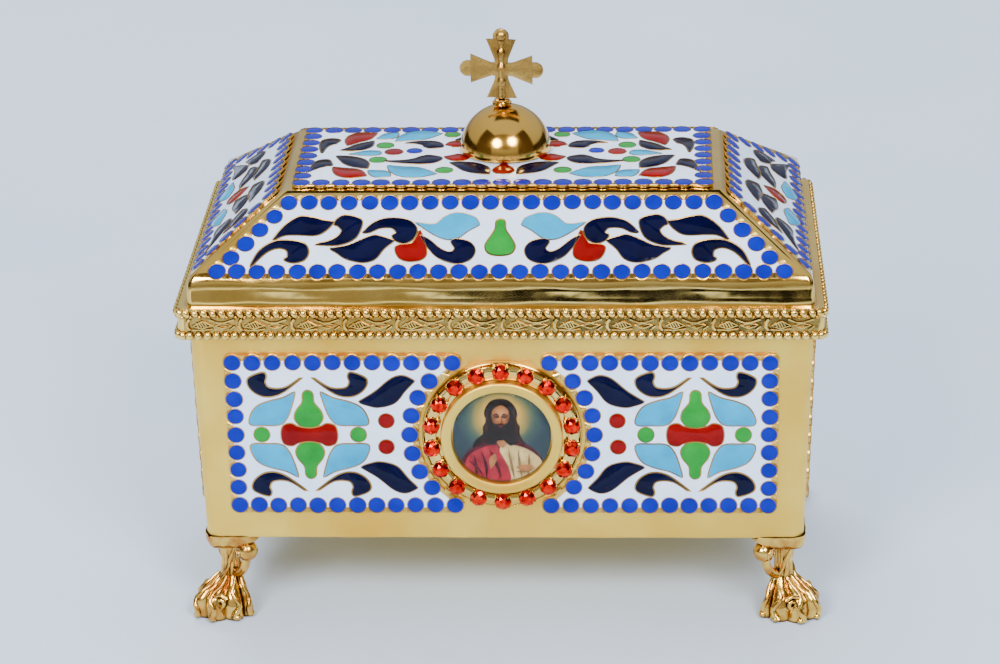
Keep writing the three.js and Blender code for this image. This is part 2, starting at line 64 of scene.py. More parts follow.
class Maker:
    """Points and faces of one piece, in millimetres, with a material number for each face."""

    def __init__(self):
        self.points, self.faces, self.looks = [], [], []

    def add(self, points, faces, look=0):
        start = len(self.points)
        self.points += [Vector(p) for p in points]
        self.faces += [[start + i for i in face] for face in faces]
        self.looks += look if isinstance(look, list) else [look] * len(faces)

    def skin(self, rings, look=0, loop=False):
        """A skin over rings of points; its ends are capped unless it closes in a loop."""
        count, levels = len(rings[0]), len(rings)
        faces = []
        for level in range(levels if loop else levels - 1):
            low, high = level * count, (level + 1) % levels * count
            for i in range(count):
                j = (i + 1) % count
                faces.append([low + i, low + j, high + j, high + i])
        if not loop:
            faces.append(list(range(count))[::-1])
            faces.append([(levels - 1) * count + i for i in range(count)])
        self.add([p for ring in rings for p in ring], faces, look)


def new_object(name, data):
    made = bpy.data.objects.new(name, data)
    bpy.context.collection.objects.link(made)
    return made


def new_mesh(name, points, faces, materials):
    mesh = bpy.data.meshes.new(name)
    mesh.from_pydata(points, [], faces)
    for material in materials:
        mesh.materials.append(material)
    return mesh


def make_piece(name, maker, materials, nodes, sharp=35):
    """Turns a maker's points into a piece that stands for the named solids."""
    mesh = new_mesh(name, [p * MM for p in maker.points], maker.faces, materials)
    mesh.polygons.foreach_set("material_index", maker.looks)
    mesh.shade_smooth()
    mesh.set_sharp_from_angle(angle=radians(sharp))
    mesh.validate()
    piece = new_object(name, mesh)
    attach(piece, "root")
    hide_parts(*nodes)
    print(f"{name}: {len(mesh.vertices)} points, {len(mesh.polygons)} faces")


def node_box(node):
    low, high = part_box(node)
    return Vector(low) / MM, Vector(high) / MM


# %% [markdown]
# ## Camera, floor and light
# The camera stands where the photographer's did: a little right of the middle, 22 degrees above
# level and almost a metre away. A pale floor and a pale sky give the metal something bright to
# mirror, and two soft boxes make the pair of highlights on the dome. One sun would be quicker
# to place, but polished metal shows the shape of every light, so soft boxes are used.

# %% Camera
YAW, PITCH, ROLL = radians(2.636), radians(22.315), radians(-1.029)
CAMERA_DISTANCE = 0.93793
CAMERA_TARGET = Vector((-0.000217, -0.045, 0.087896))
FOCAL_PIXELS, FRAME_PIXELS, SENSOR = 3450.214, 1000, 36

back = Vector((sin(YAW) * cos(PITCH), -cos(YAW) * cos(PITCH), sin(PITCH)))
level_right = Vector((cos(YAW), sin(YAW), 0))
level_up = back.cross(level_right)
cam_right = cos(ROLL) * level_right + sin(ROLL) * level_up
cam_up = -sin(ROLL) * level_right + cos(ROLL) * level_up
camera_data = bpy.data.cameras.new("camera")
camera_data.sensor_width = SENSOR
camera_data.lens = FOCAL_PIXELS / FRAME_PIXELS * SENSOR
camera = new_object("camera", camera_data)
camera.matrix_world = Matrix.Translation(CAMERA_TARGET + back * CAMERA_DISTANCE) @ Matrix(
    (cam_right, cam_up, back)).transposed().to_4x4()
bpy.context.scene.camera = camera


# %% Colour and node helpers
def linear(code):
    """An sRGB hex colour as linear red, green, blue and alpha."""
    parts = [int(code[i:i + 2], 16) / 255 for i in (1, 3, 5)]
    parts = [c / 12.92 if c <= 0.04045 else ((c + 0.055) / 1.055) ** 2.4 for c in parts]
    return (*parts, 1.0)


def add_node(tree, kind, inputs=None, **settings):
    """Adds one node, with its settings, values and incoming links."""
    node = tree.nodes.new(kind)
    for key, value in settings.items():
        setattr(node, key, value)
    for socket, value in (inputs or {}).items():
        if isinstance(value, bpy.types.NodeSocket):
            tree.links.new(value, node.inputs[socket])
        else:
            node.inputs[socket].default_value = value
    return node


def start_material(name, values):
    """A material with one surface shader, whose fixed values are set on its own sockets."""
    material = bpy.data.materials.new(name)
    material.use_nodes = True
    tree = material.node_tree
    tree.nodes.clear()
    shader = add_node(tree, "ShaderNodeBsdfPrincipled", values)
    add_node(tree, "ShaderNodeOutputMaterial", {"Surface": shader.outputs["BSDF"]})
    return material, tree, shader


def object_place(tree):
    return add_node(tree, "ShaderNodeTexCoord").outputs["Object"]


def noise_at(tree, place, size, detail=2.0):
    """Noise with features of this size in millimetres."""
    return add_node(tree, "ShaderNodeTexNoise", {
        "Vector": place, "Scale": 1 / (size * MM), "Detail": detail,
        "Roughness": 0.5}).outputs["Fac"]


def ramp(tree, factor, stops):
    node = add_node(tree, "ShaderNodeValToRGB", {"Fac": factor})
    elements = node.color_ramp.elements
    while len(elements) < len(stops):
        elements.new(0.5)
    for element, (position, value) in zip(elements, stops):
        element.position = position
        element.color = linear(value) if isinstance(value, str) else (value, value, value, 1)
    return node.outputs["Color"]


def mix(tree, mask, colour, other):
    return add_node(tree, "ShaderNodeMix", {
        0: mask, 6: colour, 7: linear(other)}, data_type="RGBA").outputs[2]


def tint(tree, shader, colour):
    tree.links.new(colour, shader.inputs["Base Color"])


def bump(tree, shader, height, depth_mm):
    node = add_node(tree, "ShaderNodeBump", {
        "Height": height, "Distance": depth_mm * MM, "Strength": 1.0})
    tree.links.new(node.outputs["Normal"], shader.inputs["Normal"])


def clouded(name, values, size, detail, stops):
    """A material whose colour follows noise between the stops."""
    material, tree, shader = start_material(name, values)
    tint(tree, shader, ramp(tree, noise_at(tree, object_place(tree), size, detail), stops))
    return material


# %% Floor
# A matt paper sweep: pale grey-blue, with the faintest mottling
paper = clouded("matt paper sweep", {"Roughness": 0.85}, 180, 2.0,
                [(0.3, "#C0D0E6"), (0.7, "#C8D7EA")])
FLOOR_HALF = 3.0                  # metres from its middle to its edge
floor_corners = [(-FLOOR_HALF, -FLOOR_HALF, 0), (FLOOR_HALF, -FLOOR_HALF, 0),
                 (FLOOR_HALF, FLOOR_HALF, 0), (-FLOOR_HALF, FLOOR_HALF, 0)]
sweep = new_object("floor", new_mesh("floor", floor_corners, [[0, 1, 2, 3]], [paper]))

# %% Lights
LIGHT_AIM = Vector((0, 0, 0.07))


def soft_box(name, place, width, height, power):
    data = bpy.data.lights.new(name, "AREA")
    data.shape = "ELLIPSE"
    data.size, data.size_y, data.energy = width, height, power
    light = new_object(name, data)
    direction = LIGHT_AIM - Vector(place)
    turn = direction.to_track_quat("-Z", "Y").to_matrix().to_4x4()
    light.matrix_world = Matrix.Translation(place) @ turn
    return light


# The two in front make the highlights. The one behind lights the floor, and no metal
# mirrors it.
soft_box("left soft box", (-0.42, -1.0, 0.74), 0.44, 0.44, 16)
soft_box("right soft box", (0.38, -0.92, 0.80), 0.40, 0.40, 14)
soft_box("back soft box", (-0.2, 1.0, 1.3), 1.4, 0.7, 26).visible_glossy = False

# %% [markdown]
# Polished metal also needs something dark to mirror, or it looks like plastic. Photographers
# set dull flags round the object, just out of view: on the floor in front, at the sides,
# behind the camera and overhead. Only mirrored rays see them, so the floor stays pale.

# %% Dull flags
# Each has its corners in metres and one tone, or two that meet near x = -0.035
FLAGS = [
    ("on the floor", [(-0.30, -0.75, 0.001), (0.60, -0.75, 0.001), (0.60, -0.286, 0.001),
                      (-0.20, -0.286, 0.001)], "#66676A", "#101114"),
    ("at the left", [(-0.8, -0.2, 0.02), (-0.8, 0.8, 0.02), (-0.8, 0.8, 0.26), (-0.8, -0.2, 0.26)],
     "#2A241C"),
    ("at the right", [(0.8, -0.2, 0.02), (0.8, 0.8, 0.02), (0.8, 0.8, 0.26), (0.8, -0.2, 0.26)],
     "#2A241C"),
    ("overhead", [(-0.55, 0.12, 1.5), (0.75, 0.12, 1.5), (0.5, 1.5, 1.5), (-0.25, 1.5, 1.5)],
     "#2E261A"),
    ("front left", [(-0.85, -1.25, 0.08), (-1.35, -0.25, 0.08), (-1.35, -0.25, 1.7),
                    (-0.85, -1.25, 1.7)],
     "#4C3E2A"),
    ("front right", [(0.85, -1.25, 0.08), (1.35, -0.25, 0.08), (1.35, -0.25, 1.7),
                     (0.85, -1.25, 1.7)],
     "#4C3E2A"),
    ("behind the camera", [(-0.95, -1.6, 0.55), (0.95, -1.6, 0.55), (0.95, -1.3, 1.9),
                           (-0.95, -1.3, 1.9)],
     "#80705A"),
]
for place, corners, *tones in FLAGS:
    name = f"flag {place}"
    material, tree, shader = start_material(name, {"Roughness": 1.0, "Specular IOR Level": 0.0})
    across = add_node(tree, "ShaderNodeSeparateXYZ", {"Vector": object_place(tree)}).outputs["X"]
    share = add_node(tree, "ShaderNodeMapRange", {
        "Value": across, "From Min": -0.05, "From Max": -0.02}).outputs["Result"]
    tint(tree, shader, ramp(tree, share, [(0.0, tones[0]), (1.0, tones[-1])]))
    sheet = new_object(name, new_mesh(name, corners, [[0, 1, 2, 3]], [material]))
    sheet.visible_camera = sheet.visible_diffuse = sheet.visible_shadow = False

world = bpy.context.scene.world or bpy.data.worlds.new("pale room")
bpy.context.scene.world = world
world.use_nodes = True
sky_tree = world.node_tree
sky_tree.nodes.clear()
sky_way = add_node(sky_tree, "ShaderNodeTexCoord").outputs["Generated"]
sky_height = add_node(sky_tree, "ShaderNodeSeparateXYZ", {"Vector": sky_way}).outputs["Z"]
sky_colour = ramp(sky_tree, sky_height, [(0.0, "#8E8D8C"), (0.25, "#C6D0DC"), (0.9, "#E4ECF6")])
sky = add_node(sky_tree, "ShaderNodeBackground", {"Color": sky_colour, "Strength": 1.04})
add_node(sky_tree, "ShaderNodeOutputWorld", {"Surface": sky.outputs["Background"]})
print("camera, lights and", len(FLAGS), "flags are placed")

# %% [markdown]
# ## Gilded brass
# All the metal is brass with a thin gold layer. What differs is how it was made: rolled sheet
# that was rubbed satin, sheet polished to a mirror, and castings. The hollows of the castings
# and of the stamped strip are given brown painted shade. One material could be used for all of
# it, but the eye reads the three makings at once, so each has its own roughness, waviness and
# colour range.


# %% Metals
def gilded_metal(name, light, dark, rough_low, rough_high, wave_mm, wave_depth,
                 grain_depth=0.0, hollow_shade=None, patch_mm=26):
    """Gilded brass: light and dark ends of its colour, roughness range and surface waves, and an
    optional dark tone painted as shade into its hollows.
    """
    material, tree, shader = start_material(name, {"Metallic": 1.0})
    place = object_place(tree)
    colour = ramp(tree, noise_at(tree, place, patch_mm, 3.0), [(0.3, light), (0.72, dark)])
    if hollow_shade:
        # painted shade: the colour turns to the given dark tone where ambient occlusion finds the
        # surface hemmed in
        hollow_shade_ao = add_node(tree, "ShaderNodeAmbientOcclusion", {"Distance": 1.6 * MM}, samples=8)
        colour = mix(tree, ramp(tree, hollow_shade_ao.outputs["AO"], [(0.35, 1.0), (0.9, 0.0)]), colour,
                     hollow_shade)
    tint(tree, shader, colour)
    rough = add_node(tree, "ShaderNodeMapRange", {
        "Value": noise_at(tree, place, 5, 4.0), "From Min": 0.3, "From Max": 0.7,
        "To Min": rough_low, "To Max": rough_high})
    tree.links.new(rough.outputs["Result"], shader.inputs["Roughness"])
    height = noise_at(tree, place, wave_mm, 1.0)
    if grain_depth:
        height = add_node(tree, "ShaderNodeMath", {
            0: noise_at(tree, place, 0.5, 2.0), 1: grain_depth / wave_depth, 2: height},
            operation="MULTIPLY_ADD").outputs[0]
    bump(tree, shader, height, wave_depth)
    return material


# Rolled sheet, rubbed satin: wide even sheen, hardly any mirror
satin_sheet = gilded_metal("rolled sheet, rubbed satin", "#FFD65E", "#EDB63E", 0.36, 0.48,
                           30, 0.25, grain_depth=0.01)
# Rolled sheet, polished: mirrors the room in slow waves
polished_sheet = gilded_metal("rolled sheet, polished", "#F2CB70", "#DEAE4A", 0.07, 0.16, 16, 0.22)
# Spun and burnished: the dome and its collar, nearly a mirror
burnished = gilded_metal("spun and burnished", "#F0C060", "#DEA544", 0.10, 0.17, 20, 0.04)
# Cut and stamped: crisp and even, with brown painted shade between the beads and lines
stamped_gilt = gilded_metal("stamped strip", "#FFDC7C", "#EEBE58", 0.16, 0.28,
                            3.0, 0.10, grain_depth=0.01, hollow_shade="#866028")
# Cut sheet, filed: the trays, with a softer mirror than the polished sheet
filed_sheet = gilded_metal("cut sheet, filed", "#F2CB70", "#DEAE4A", 0.24, 0.36, 6, 0.08)
# Cast and chased: bright on the ridges, red brown in patches, with red brown painted shade in the
# hollows
cast_gilt = gilded_metal("cast and chased", "#FFD66A", "#B46E28", 0.15, 0.27,
                         3.0, 0.12, grain_depth=0.02, hollow_shade="#5A3010", patch_mm=5)
# Cast and left dull: the cross, browner than the rest, with dark painted shade in its hollows
dull_cast = gilded_metal("cast, dull", "#D0A454", "#A87A36", 0.20, 0.34,
                         3.0, 0.12, grain_depth=0.02, hollow_shade="#3E270E", patch_mm=9)
# Drawn wire: the thin brown gold lines between the enamels
drawn_wire = gilded_metal("drawn wire", "#C49A52", "#8A6428", 0.26, 0.40, 2.0, 0.03)

# %% [markdown]
# ## Enamel
# Cloisonne enamel is ground glass, melted between thin wires that stand on the plate. It is
# opaque, as glossy as a glazed cup, and each firing leaves a few pin holes. It could be one
# painted texture, but real cells are separate pools of glass, so each colour is a material of
# its own and each cell is a shallow pool of mesh.


# %% Enamels
def fired_enamel(name, light, dark, pits=0.0):
    """Opaque fired glass between two shades, with pin holes of a darker tone."""
    material, tree, shader = start_material(name, {
        "IOR": 1.5, "Roughness": 0.12, "Specular IOR Level": 0.14})
    place = object_place(tree)
    colour = ramp(tree, noise_at(tree, place, 6, 3.0), [(0.3, light), (0.75, dark)])
    hole = add_node(tree, "ShaderNodeTexVoronoi", {"Vector": place, "Scale": 1 / (3.2 * MM)})
    mask = ramp(tree, hole.outputs["Distance"], [(0.045, pits), (0.075, 0.0)])
    tint(tree, shader, mix(tree, mask, colour, "#7F8288"))
    bump(tree, shader, noise_at(tree, place, 2.4), 0.10)
    return material


enamel_slots = [
    filed_sheet,
    fired_enamel("fired enamel, white", "#DEEBFF", "#CADDFB", pits=0.6),
    fired_enamel("fired enamel, cobalt", "#00149C", "#000E7E"),
    fired_enamel("fired enamel, navy", "#06072A", "#02031C"),
    fired_enamel("fired enamel, turquoise", "#009AC8", "#0086B2", pits=0.3),
    fired_enamel("fired enamel, green", "#128A2E", "#087024"),
    fired_enamel("fired enamel, red", "#7E0202", "#620102"),
    drawn_wire,
]
TRAY, WHITE, COBALT, NAVY, TURQUOISE, GREEN, RED, WIRE = range(8)
print("materials so far:", len(bpy.data.materials))

# %% [markdown]
# ## The sheet box
# Four walls are bent from one sheet with rounded corners, drawn in a little towards the bottom,
# where the sheet's edge was hammered to a soft, slightly wavy lip. It could be a bevelled cube,
# but then the lip would be dead straight. A stack of rounded rings gives every ring its own
# size, so the lip and the faint hand-made waviness are part of the mesh.


# %% Rounded rings
def rounded_ring(half_x, half_y, radius, z, steps=8, per_side=1):
    """A level rectangle with rounded corners, counter-clockwise from the right-hand side."""
    signs = [(1, 1), (-1, 1), (-1, -1), (1, -1)]

    def on_corner(quarter, angle):
        sx, sy = signs[quarter % 4]
        return Vector((sx * (half_x - radius) + radius * cos(angle),
                       sy * (half_y - radius) + radius * sin(angle), z))

    ring = []
    for quarter in range(4):
        ring += [on_corner(quarter, (quarter + step / steps) * pi / 2) for step in range(steps + 1)]
        start, end = ring[-1], on_corner(quarter + 1, (quarter + 1) * pi / 2)
        ring += [start.lerp(end, step / per_side) for step in range(1, per_side)]
    return ring


def sheet_points(node):
    return [v.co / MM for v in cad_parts[node].data.vertices]


# %% Sheet box
body_low, body_high = node_box("box_body")
RIM_X, RIM_Y, RIM_Z, UNDER_Z = body_high.x, body_high.y, body_high.z, body_low.z
UNDER_X = max(p.x for p in sheet_points("box_body") if p.z < UNDER_Z + 0.1)
DRAW_IN = RIM_X - UNDER_X
CORNER_R, SHEET = 4.0, 1.2
LIP_R = 0.7            # rounding of the hammered lower edge
LIP_WAVE = 0.14        # how far the lower edge strays


def wall_ring(z, inset=0.0, wave=0.0):
    out = DRAW_IN * (RIM_Z - z) / (RIM_Z - UNDER_Z)
    ring = rounded_ring(RIM_X - out - inset, RIM_Y - out - inset, max(CORNER_R - inset, 0.6), z, 8,
                        40)
    for p in ring:
        sway = sin(p.x * 0.19) + 0.6 * sin(p.x * 0.47 + p.y * 0.31)
        p.z += wave * (0.5 + 0.3 * sway)
    return ring


box = Maker()
rings = [wall_ring(UNDER_Z, 3.0), wall_ring(UNDER_Z, LIP_R, LIP_WAVE)]
for step in range(1, 5):
    angle = step / 4 * pi / 2
    rings.append(wall_ring(UNDER_Z + LIP_R * (1 - cos(angle)), LIP_R * (1 - sin(angle)), LIP_WAVE))
for share in (0.08, 0.2, 0.35, 0.5, 0.65, 0.8, 0.92, 1.0):
    rings.append(wall_ring(UNDER_Z + LIP_R + (RIM_Z - UNDER_Z - LIP_R) * share))
box.skin(rings + [wall_ring(RIM_Z, SHEET), wall_ring(UNDER_Z + SHEET, SHEET)])
make_piece("sheet_box", box, [satin_sheet], ["box_body"], sharp=50)

# %% [markdown]
# ## The hipped lid
# The lid is folded from thinner, brighter sheet: a ledge that lies on the rim, an upright
# fascia and four slopes up to a flat top. Its folds are not knife edges, and the fascia was
# hammered a little uneven, which is why its mirror image of the room wavers. Small roundings
# at each fold, and points along each side that sway by a tenth of a millimetre, show that.

# %% Lid sheet
lid_low, lid_high = node_box("lid_shell")
band_low, band_high = node_box("lid_band")
lid_points = sheet_points("lid_shell")
TOP_Z, LEDGE_Z, LEDGE_TOP = lid_high.z, lid_low.z, band_high.z
LID_SHEET = LEDGE_TOP - LEDGE_Z
FASCIA = [max(p[axis] for p in lid_points if p.z > LEDGE_TOP + 0.5) for axis in (0, 1)]
TOP = [max(p[axis] for p in lid_points if p.z > TOP_Z - 0.05) for axis in (0, 1)]
ROOF_Z = max(p.z for p in lid_points if p.x > FASCIA[0] - 0.05)
FOLD_R, FASCIA_WAVE = 0.45, 0.10


def lid_ring(half, inset, radius, z, wave=0.0):
    """A ring drawn in from half sizes in x and y; wave says how much its sides sway."""
    half_x, half_y = half[0] - inset, half[1] - inset
    ring = rounded_ring(half_x, half_y, radius, z, 6, 44)
    for p in ring:
        sway = sin(p.x * 0.16 + z) + 0.7 * sin(p.x * 0.33 + p.y * 0.21 + z * 2)
        dent = wave * FASCIA_WAVE * (0.5 + 0.3 * sway)
        if abs(p.y) > half_y - radius:
            p.y -= copysign(dent, p.y)
        if abs(p.x) > half_x - radius:
            p.x -= copysign(dent, p.x)
    return ring


def slope_ring(share, wave=0.0):
    """A ring on the slope: share 0 at the fascia's top, 1 at the flat top's edge."""
    half = [low + (high - low) * share for low, high in zip(FASCIA, TOP)]
    return lid_ring(half, 0, 1.4, ROOF_Z + (TOP_Z - ROOF_Z) * share, wave)


RIM = (RIM_X, RIM_Y)
rings = [lid_ring(*row) for row in (
    (TOP, LID_SHEET, 0.6, TOP_Z - LID_SHEET), (FASCIA, LID_SHEET, 0.6, ROOF_Z - LID_SHEET / 2),
    (FASCIA, LID_SHEET, 0.6, LEDGE_Z), (RIM, -0.27, 1.2, LEDGE_Z),
    (RIM, -0.27, 1.2, LEDGE_TOP - 0.12),
    (FASCIA, -0.3, 1.5, LEDGE_TOP - 0.12, 1), (FASCIA, -0.08, 1.45, LEDGE_TOP - 0.04, 1),
    (FASCIA, 0, 1.4, LEDGE_TOP + 0.2, 1), (FASCIA, 0, 1.4, LEDGE_TOP + 2.0, 2.0),
    (FASCIA, 0, 1.4, ROOF_Z - 3.4, 1.8), (FASCIA, 0.04, 1.4, ROOF_Z - 2.5, 1.8),
    (FASCIA, 0.32, 1.3, ROOF_Z - 1.4, 1.2), (FASCIA, 0.55, 1.3, ROOF_Z - 0.5, 1),
    (FASCIA, 0.75, 1.3, ROOF_Z - 0.12, 1))]
rings += [slope_ring(0.045, 0.5), slope_ring(0.3), slope_ring(0.7),
          slope_ring(1 - FOLD_R / (TOP_Z - ROOF_Z)),
          lid_ring(TOP, 0.15, 1.3, TOP_Z - 0.04), lid_ring(TOP, FOLD_R, 1.2, TOP_Z)]
lid = Maker()
lid.skin(rings)
make_piece("lid_sheet", lid, [polished_sheet], ["lid_shell"], sharp=40)
print(f"lid: fascia {ROOF_Z - LEDGE_TOP:.2f} mm, slope rises {TOP_Z - ROOF_Z:.2f} mm")

# %% [markdown]
# ## The beaded skirt strip
# A strip of stamped brass is soldered round the ledge. It has a row of slanting rope beads
# along its top, round beads along its bottom, and between them a frieze: an arc, a hatched
# cartouche and a plain lozenge, over and over. A bump texture could hint at it, but the beads
# break the outline and catch the light one by one, so each bead and line is real mesh.


# %% Beads, tubes and the path round the lid
def bead(maker, centre, along, out, size, lean=0.0, around=8, levels=5):
    """An egg-shaped bead, size given along, out and up, leaning in the plane of the face."""
    turned_along = along * cos(lean) + UP * sin(lean)
    turned_up = UP * cos(lean) - along * sin(lean)
    rings = []
    for level in range(levels):
        polar = pi * (level + 0.15) / (levels - 0.7)
        angles = [2 * pi * i / around for i in range(around)]
        rings.append([centre + turned_along * size[0] * sin(polar) * cos(angle)
                      + out * size[1] * sin(polar) * sin(angle)
                      - turned_up * size[2] * cos(polar) for angle in angles])
    maker.skin(rings)


def tube(maker, path, radius, normal, closed=False, sides=6, look=0, taper=None):
    """A round wire along a path; the normal keeps its section steady."""
    count = len(path)
    rings = []
    for i, point in enumerate(path):
        before = path[i - 1] if closed or i > 0 else path[0]
        after = path[(i + 1) % count] if closed or i + 1 < count else path[-1]
        way = (after - before).normalized()
        a = way.cross(normal).normalized()
        b = a.cross(way)
        r = radius * (taper(i / (count - 1)) if taper else 1)
        rings.append([point + a * r * cos(2 * pi * k / sides) + b * r * sin(2 * pi * k / sides)
                      for k in range(sides)])
    maker.skin(rings, look, loop=closed)


BAND_LOW, BAND_TOP, BAND_X, BAND_Y = band_low.z, band_high.z, band_high.x, band_high.y
BAND_IN = 0.3                     # room between the strip and the box wall
STRIP_T = BAND_X - RIM_X - BAND_IN
FACE_OUT = 1.3                    # frieze face behind the beads' crowns
MOULD_R = 1.3                     # height of a bead row, halved
BEAD_IN = 1.0                     # middle of the beads behind their crowns
BAND_CORNER, BEAD_PITCH, FRIEZE_PITCH = 3.4, 2.45, 14.2

band = Maker()
profile = [(STRIP_T, BAND_LOW), (1.3, BAND_LOW), (FACE_OUT, BAND_LOW + 0.4),
           (FACE_OUT, BAND_TOP - 0.5),
           (1.4, BAND_TOP - 0.1), (STRIP_T, BAND_TOP - 0.1)]
band.skin([rounded_ring(BAND_X - out, BAND_Y - out, max(BAND_CORNER - out, 0.8), z, 5)
           for out, z in profile], loop=True)

# the four straight runs of the strip: start, direction, outward side and length
end_x, end_y = BAND_X - BAND_CORNER, BAND_Y - BAND_CORNER
X, Y = Vector((1, 0, 0)), Vector((0, 1, 0))
RUNS = [(Vector((-end_x, -BAND_Y, 0)), X, -Y, 2 * end_x),
        (Vector((BAND_X, -end_y, 0)), Y, X, 2 * end_y),
        (Vector((end_x, BAND_Y, 0)), -X, Y, 2 * end_x),
        (Vector((-BAND_X, end_y, 0)), -Y, -X, 2 * end_y)]


def path_at(distance):
    """A point on the path of the beads, the way along it and the way out, with its corners."""
    quarter = BAND_CORNER * pi / 2
    for start, way, out, length in RUNS:
        if distance <= length:
            return start + way * distance - out * BEAD_IN, way, out
        distance -= length
        if distance <= quarter:
            angle = distance / BAND_CORNER
            centre = start + way * length - out * BAND_CORNER
            turned_out = out * cos(angle) + way * sin(angle)
            return (centre + turned_out * (BAND_CORNER - BEAD_IN),
                    way * cos(angle) - out * sin(angle), turned_out)
        distance -= quarter


band_length = sum(run[3] for run in RUNS) + 2 * pi * BAND_CORNER
bead_count = round(band_length / BEAD_PITCH)
for i in range(bead_count):
    fat = 1 + random.uniform(-0.08, 0.08)
    tall = (1.0, 0.85)[i % 2]
    for shift, z, size, lean, around, levels in (
            (0.5, BAND_LOW + MOULD_R, (1.18 * fat, 0.98, 1.28), 0.0, 10, 6),
            (0.2, BAND_TOP - MOULD_R, (1.0 * fat, 0.98, 1.45 * tall), 0.6, 10, 6),
            (0.72, BAND_TOP - 2 * MOULD_R + 0.35, (0.6 * fat, 0.8, 0.55), 0.0, 8, 5)):
        place, way, out = path_at((i + shift) * band_length / bead_count)
        bead(band, place + UP * z, way, out, size, lean, around, levels)

# %% Frieze
# One repeat, as lines of points along and up: an arc, a hatched cartouche, and a plain lozenge
# with a diagonal. Each has its wire's radius and says whether it is closed.
FRIEZE_MID = (BAND_LOW + BAND_TOP) / 2
FRIEZE_OUT = 0.15 - FACE_OUT
arc = [(1.9 - 1.3 * cos(a), 1.75 * sin(a)) for a in [radians(-65 + 130 * s / 8) for s in range(9)]]
FRIEZE = [(0.55, False, arc), (0.42, True, [(2.2, -0.35), (4.6, -1.2), (7.2, -0.2), (4.8, 0.95)])]
FRIEZE += [(0.3, False, [(x - 0.4, 0.6), (x + 0.4, -0.85)]) for x in (3.4, 4.15, 4.9, 5.65)]
FRIEZE += [(0.36, False, [(6.6, 1.5), (9.0, 0.5), (10.8, 0.6), (13.4, 1.5)]),
           (0.42, True, [(8.2, -0.3), (10.3, -1.1), (12.6, -0.2), (10.4, 0.5)]),
           (0.32, False, [(1.8, -1.5), (4.6, -1.65), (7.6, -1.2)]),
           (0.34, False, [(12.2, -1.5), (13.6, -0.4)])]
for start, way, out, length in RUNS:
    repeats = int(length / FRIEZE_PITCH)
    for i in range(repeats):
        x0 = (length - repeats * FRIEZE_PITCH) / 2 + i * FRIEZE_PITCH
        for radius, closed, line in FRIEZE:
            path = [start + way * (x0 + x) + out * FRIEZE_OUT + UP * (FRIEZE_MID + z)
                    for x, z in line]
            tube(band, path, radius, out, closed)
make_piece("skirt_strip", band, [stamped_gilt], ["lid_band"], sharp=45)
print(f"strip: {bead_count} beads a row, {band_length:.0f} mm round")

# %% [markdown]
# ## Enamel plates
# Each plate is a thin metal tray with a scalloped edge. A border of round cobalt cells follows
# the edge, and leaves, commas and drops of colour lie on the white ground inside it. Each cell
# has a wire round it. A plate could be drawn as a texture, but then no wire would catch the
# light, so trays, pools and wires are meshes, laid in the flat frame of the plate.

# %% Flat frames
SIDES = {"front": (0, -1, 0), "back": (0, 1, 0), "left": (-1, 0, 0), "right": (1, 0, 0)}


class Frame:
    """A flat frame: a place, and the directions right, up and out."""

    def __init__(self, origin, right, up, out):
        self.origin, self.right, self.up, self.out = Vector(origin), right, up, out

    def at(self, u, v, w=0.0):
        return self.origin + self.right * u + self.up * v + self.out * w

    def ring(self, radius, height, count, u=0, v=0, turn=0):
        """Points on a circle about (u, v), turned by a share of one step."""
        angles = [2 * pi * (k + turn) / count for k in range(count)]
        return [self.at(u + radius * cos(a), v + radius * sin(a), height) for a in angles]

    def moved(self, u, v, lift):
        return Frame(self.at(u, v, lift), self.right, self.up, self.out)


class Face(Frame):
    """The flat frame of one plate, read from its solid, with its depth and its span."""

    def __init__(self, node, heading=SIDES["front"], up_hint=UP):
        heading, up_hint, out = Vector(heading), Vector(up_hint), Vector((0, 0, 0))
        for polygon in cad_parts[node].data.polygons:
            if polygon.normal.dot(heading) > 0.4:
                out += polygon.normal * polygon.area
        out = out.normalized()
        up = (up_hint - out * out.dot(up_hint)).normalized()
        right = up.cross(out)
        heights = [p.dot(out) for p in sheet_points(node)]
        super().__init__(out * min(heights), right, up, out)
        self.depth = max(heights) - min(heights)
        self.flat = [(p.dot(right), p.dot(up)) for p in sheet_points(node)]
        us, vs = zip(*self.flat)
        self.span = min(us), max(us), min(vs), max(vs)


CELL_R, CELL_RIM, DIP = 2.15, 0.45, 0.55
EDGE = CELL_R + CELL_RIM
TRAY_T, GROUND_T, POOL_T, WIRE_T = 0.58, 0.68, 0.76, 0.88
WIRE_R, CELL_WIRE_R = 0.27, 0.15
SWELL = 0.24        # how far each pool is drawn out towards its neighbours
FRONT_PITCH, LID_PITCH = 5.4, 5.55


# %% Borders
def flat_way(a, b):
    length = dist(a, b)
    return ((b[0] - a[0]) / length, (b[1] - a[1]) / length)


def along(a, b, pitch):
    """Cells from a towards b, spaced as near to the pitch as whole numbers allow."""
    steps = max(1, round(dist(a, b) / pitch))
    return [(a[0] + (b[0] - a[0]) * i / steps, a[1] + (b[1] - a[1]) * i / steps)
            for i in range(steps)]


def border(corners, pitch):
    return [cell for a, b in zip(corners, corners[1:] + corners[:1]) for cell in along(a, b, pitch)]


def outwards(cells, i):
    """Outward directions of the border before and after one cell."""
    before, after = (flat_way(cells[i - 1], cells[i]),
                     flat_way(cells[i], cells[(i + 1) % len(cells)]))
    return (before[1], -before[0]), (after[1], -after[0])


def scalloped_edge(cells, steps=5):
    """An outline that swells round each cell and dips between two."""
    points = []
    for i, cell in enumerate(cells):
        first, last = outwards(cells, i)
        a0, a1 = atan2(first[1], first[0]), atan2(last[1], last[0])
        turn = (a1 - a0 + pi) % (2 * pi) - pi
        half = radians(48)
        for step in range(steps + 1):
            angle = a0 - half + (turn + 2 * half) * step / steps
            swell = EDGE - DIP * (1 - cos((step / steps - 0.5) * pi)) * 0.25
            points.append((cell[0] + swell * cos(angle), cell[1] + swell * sin(angle)))
    return points


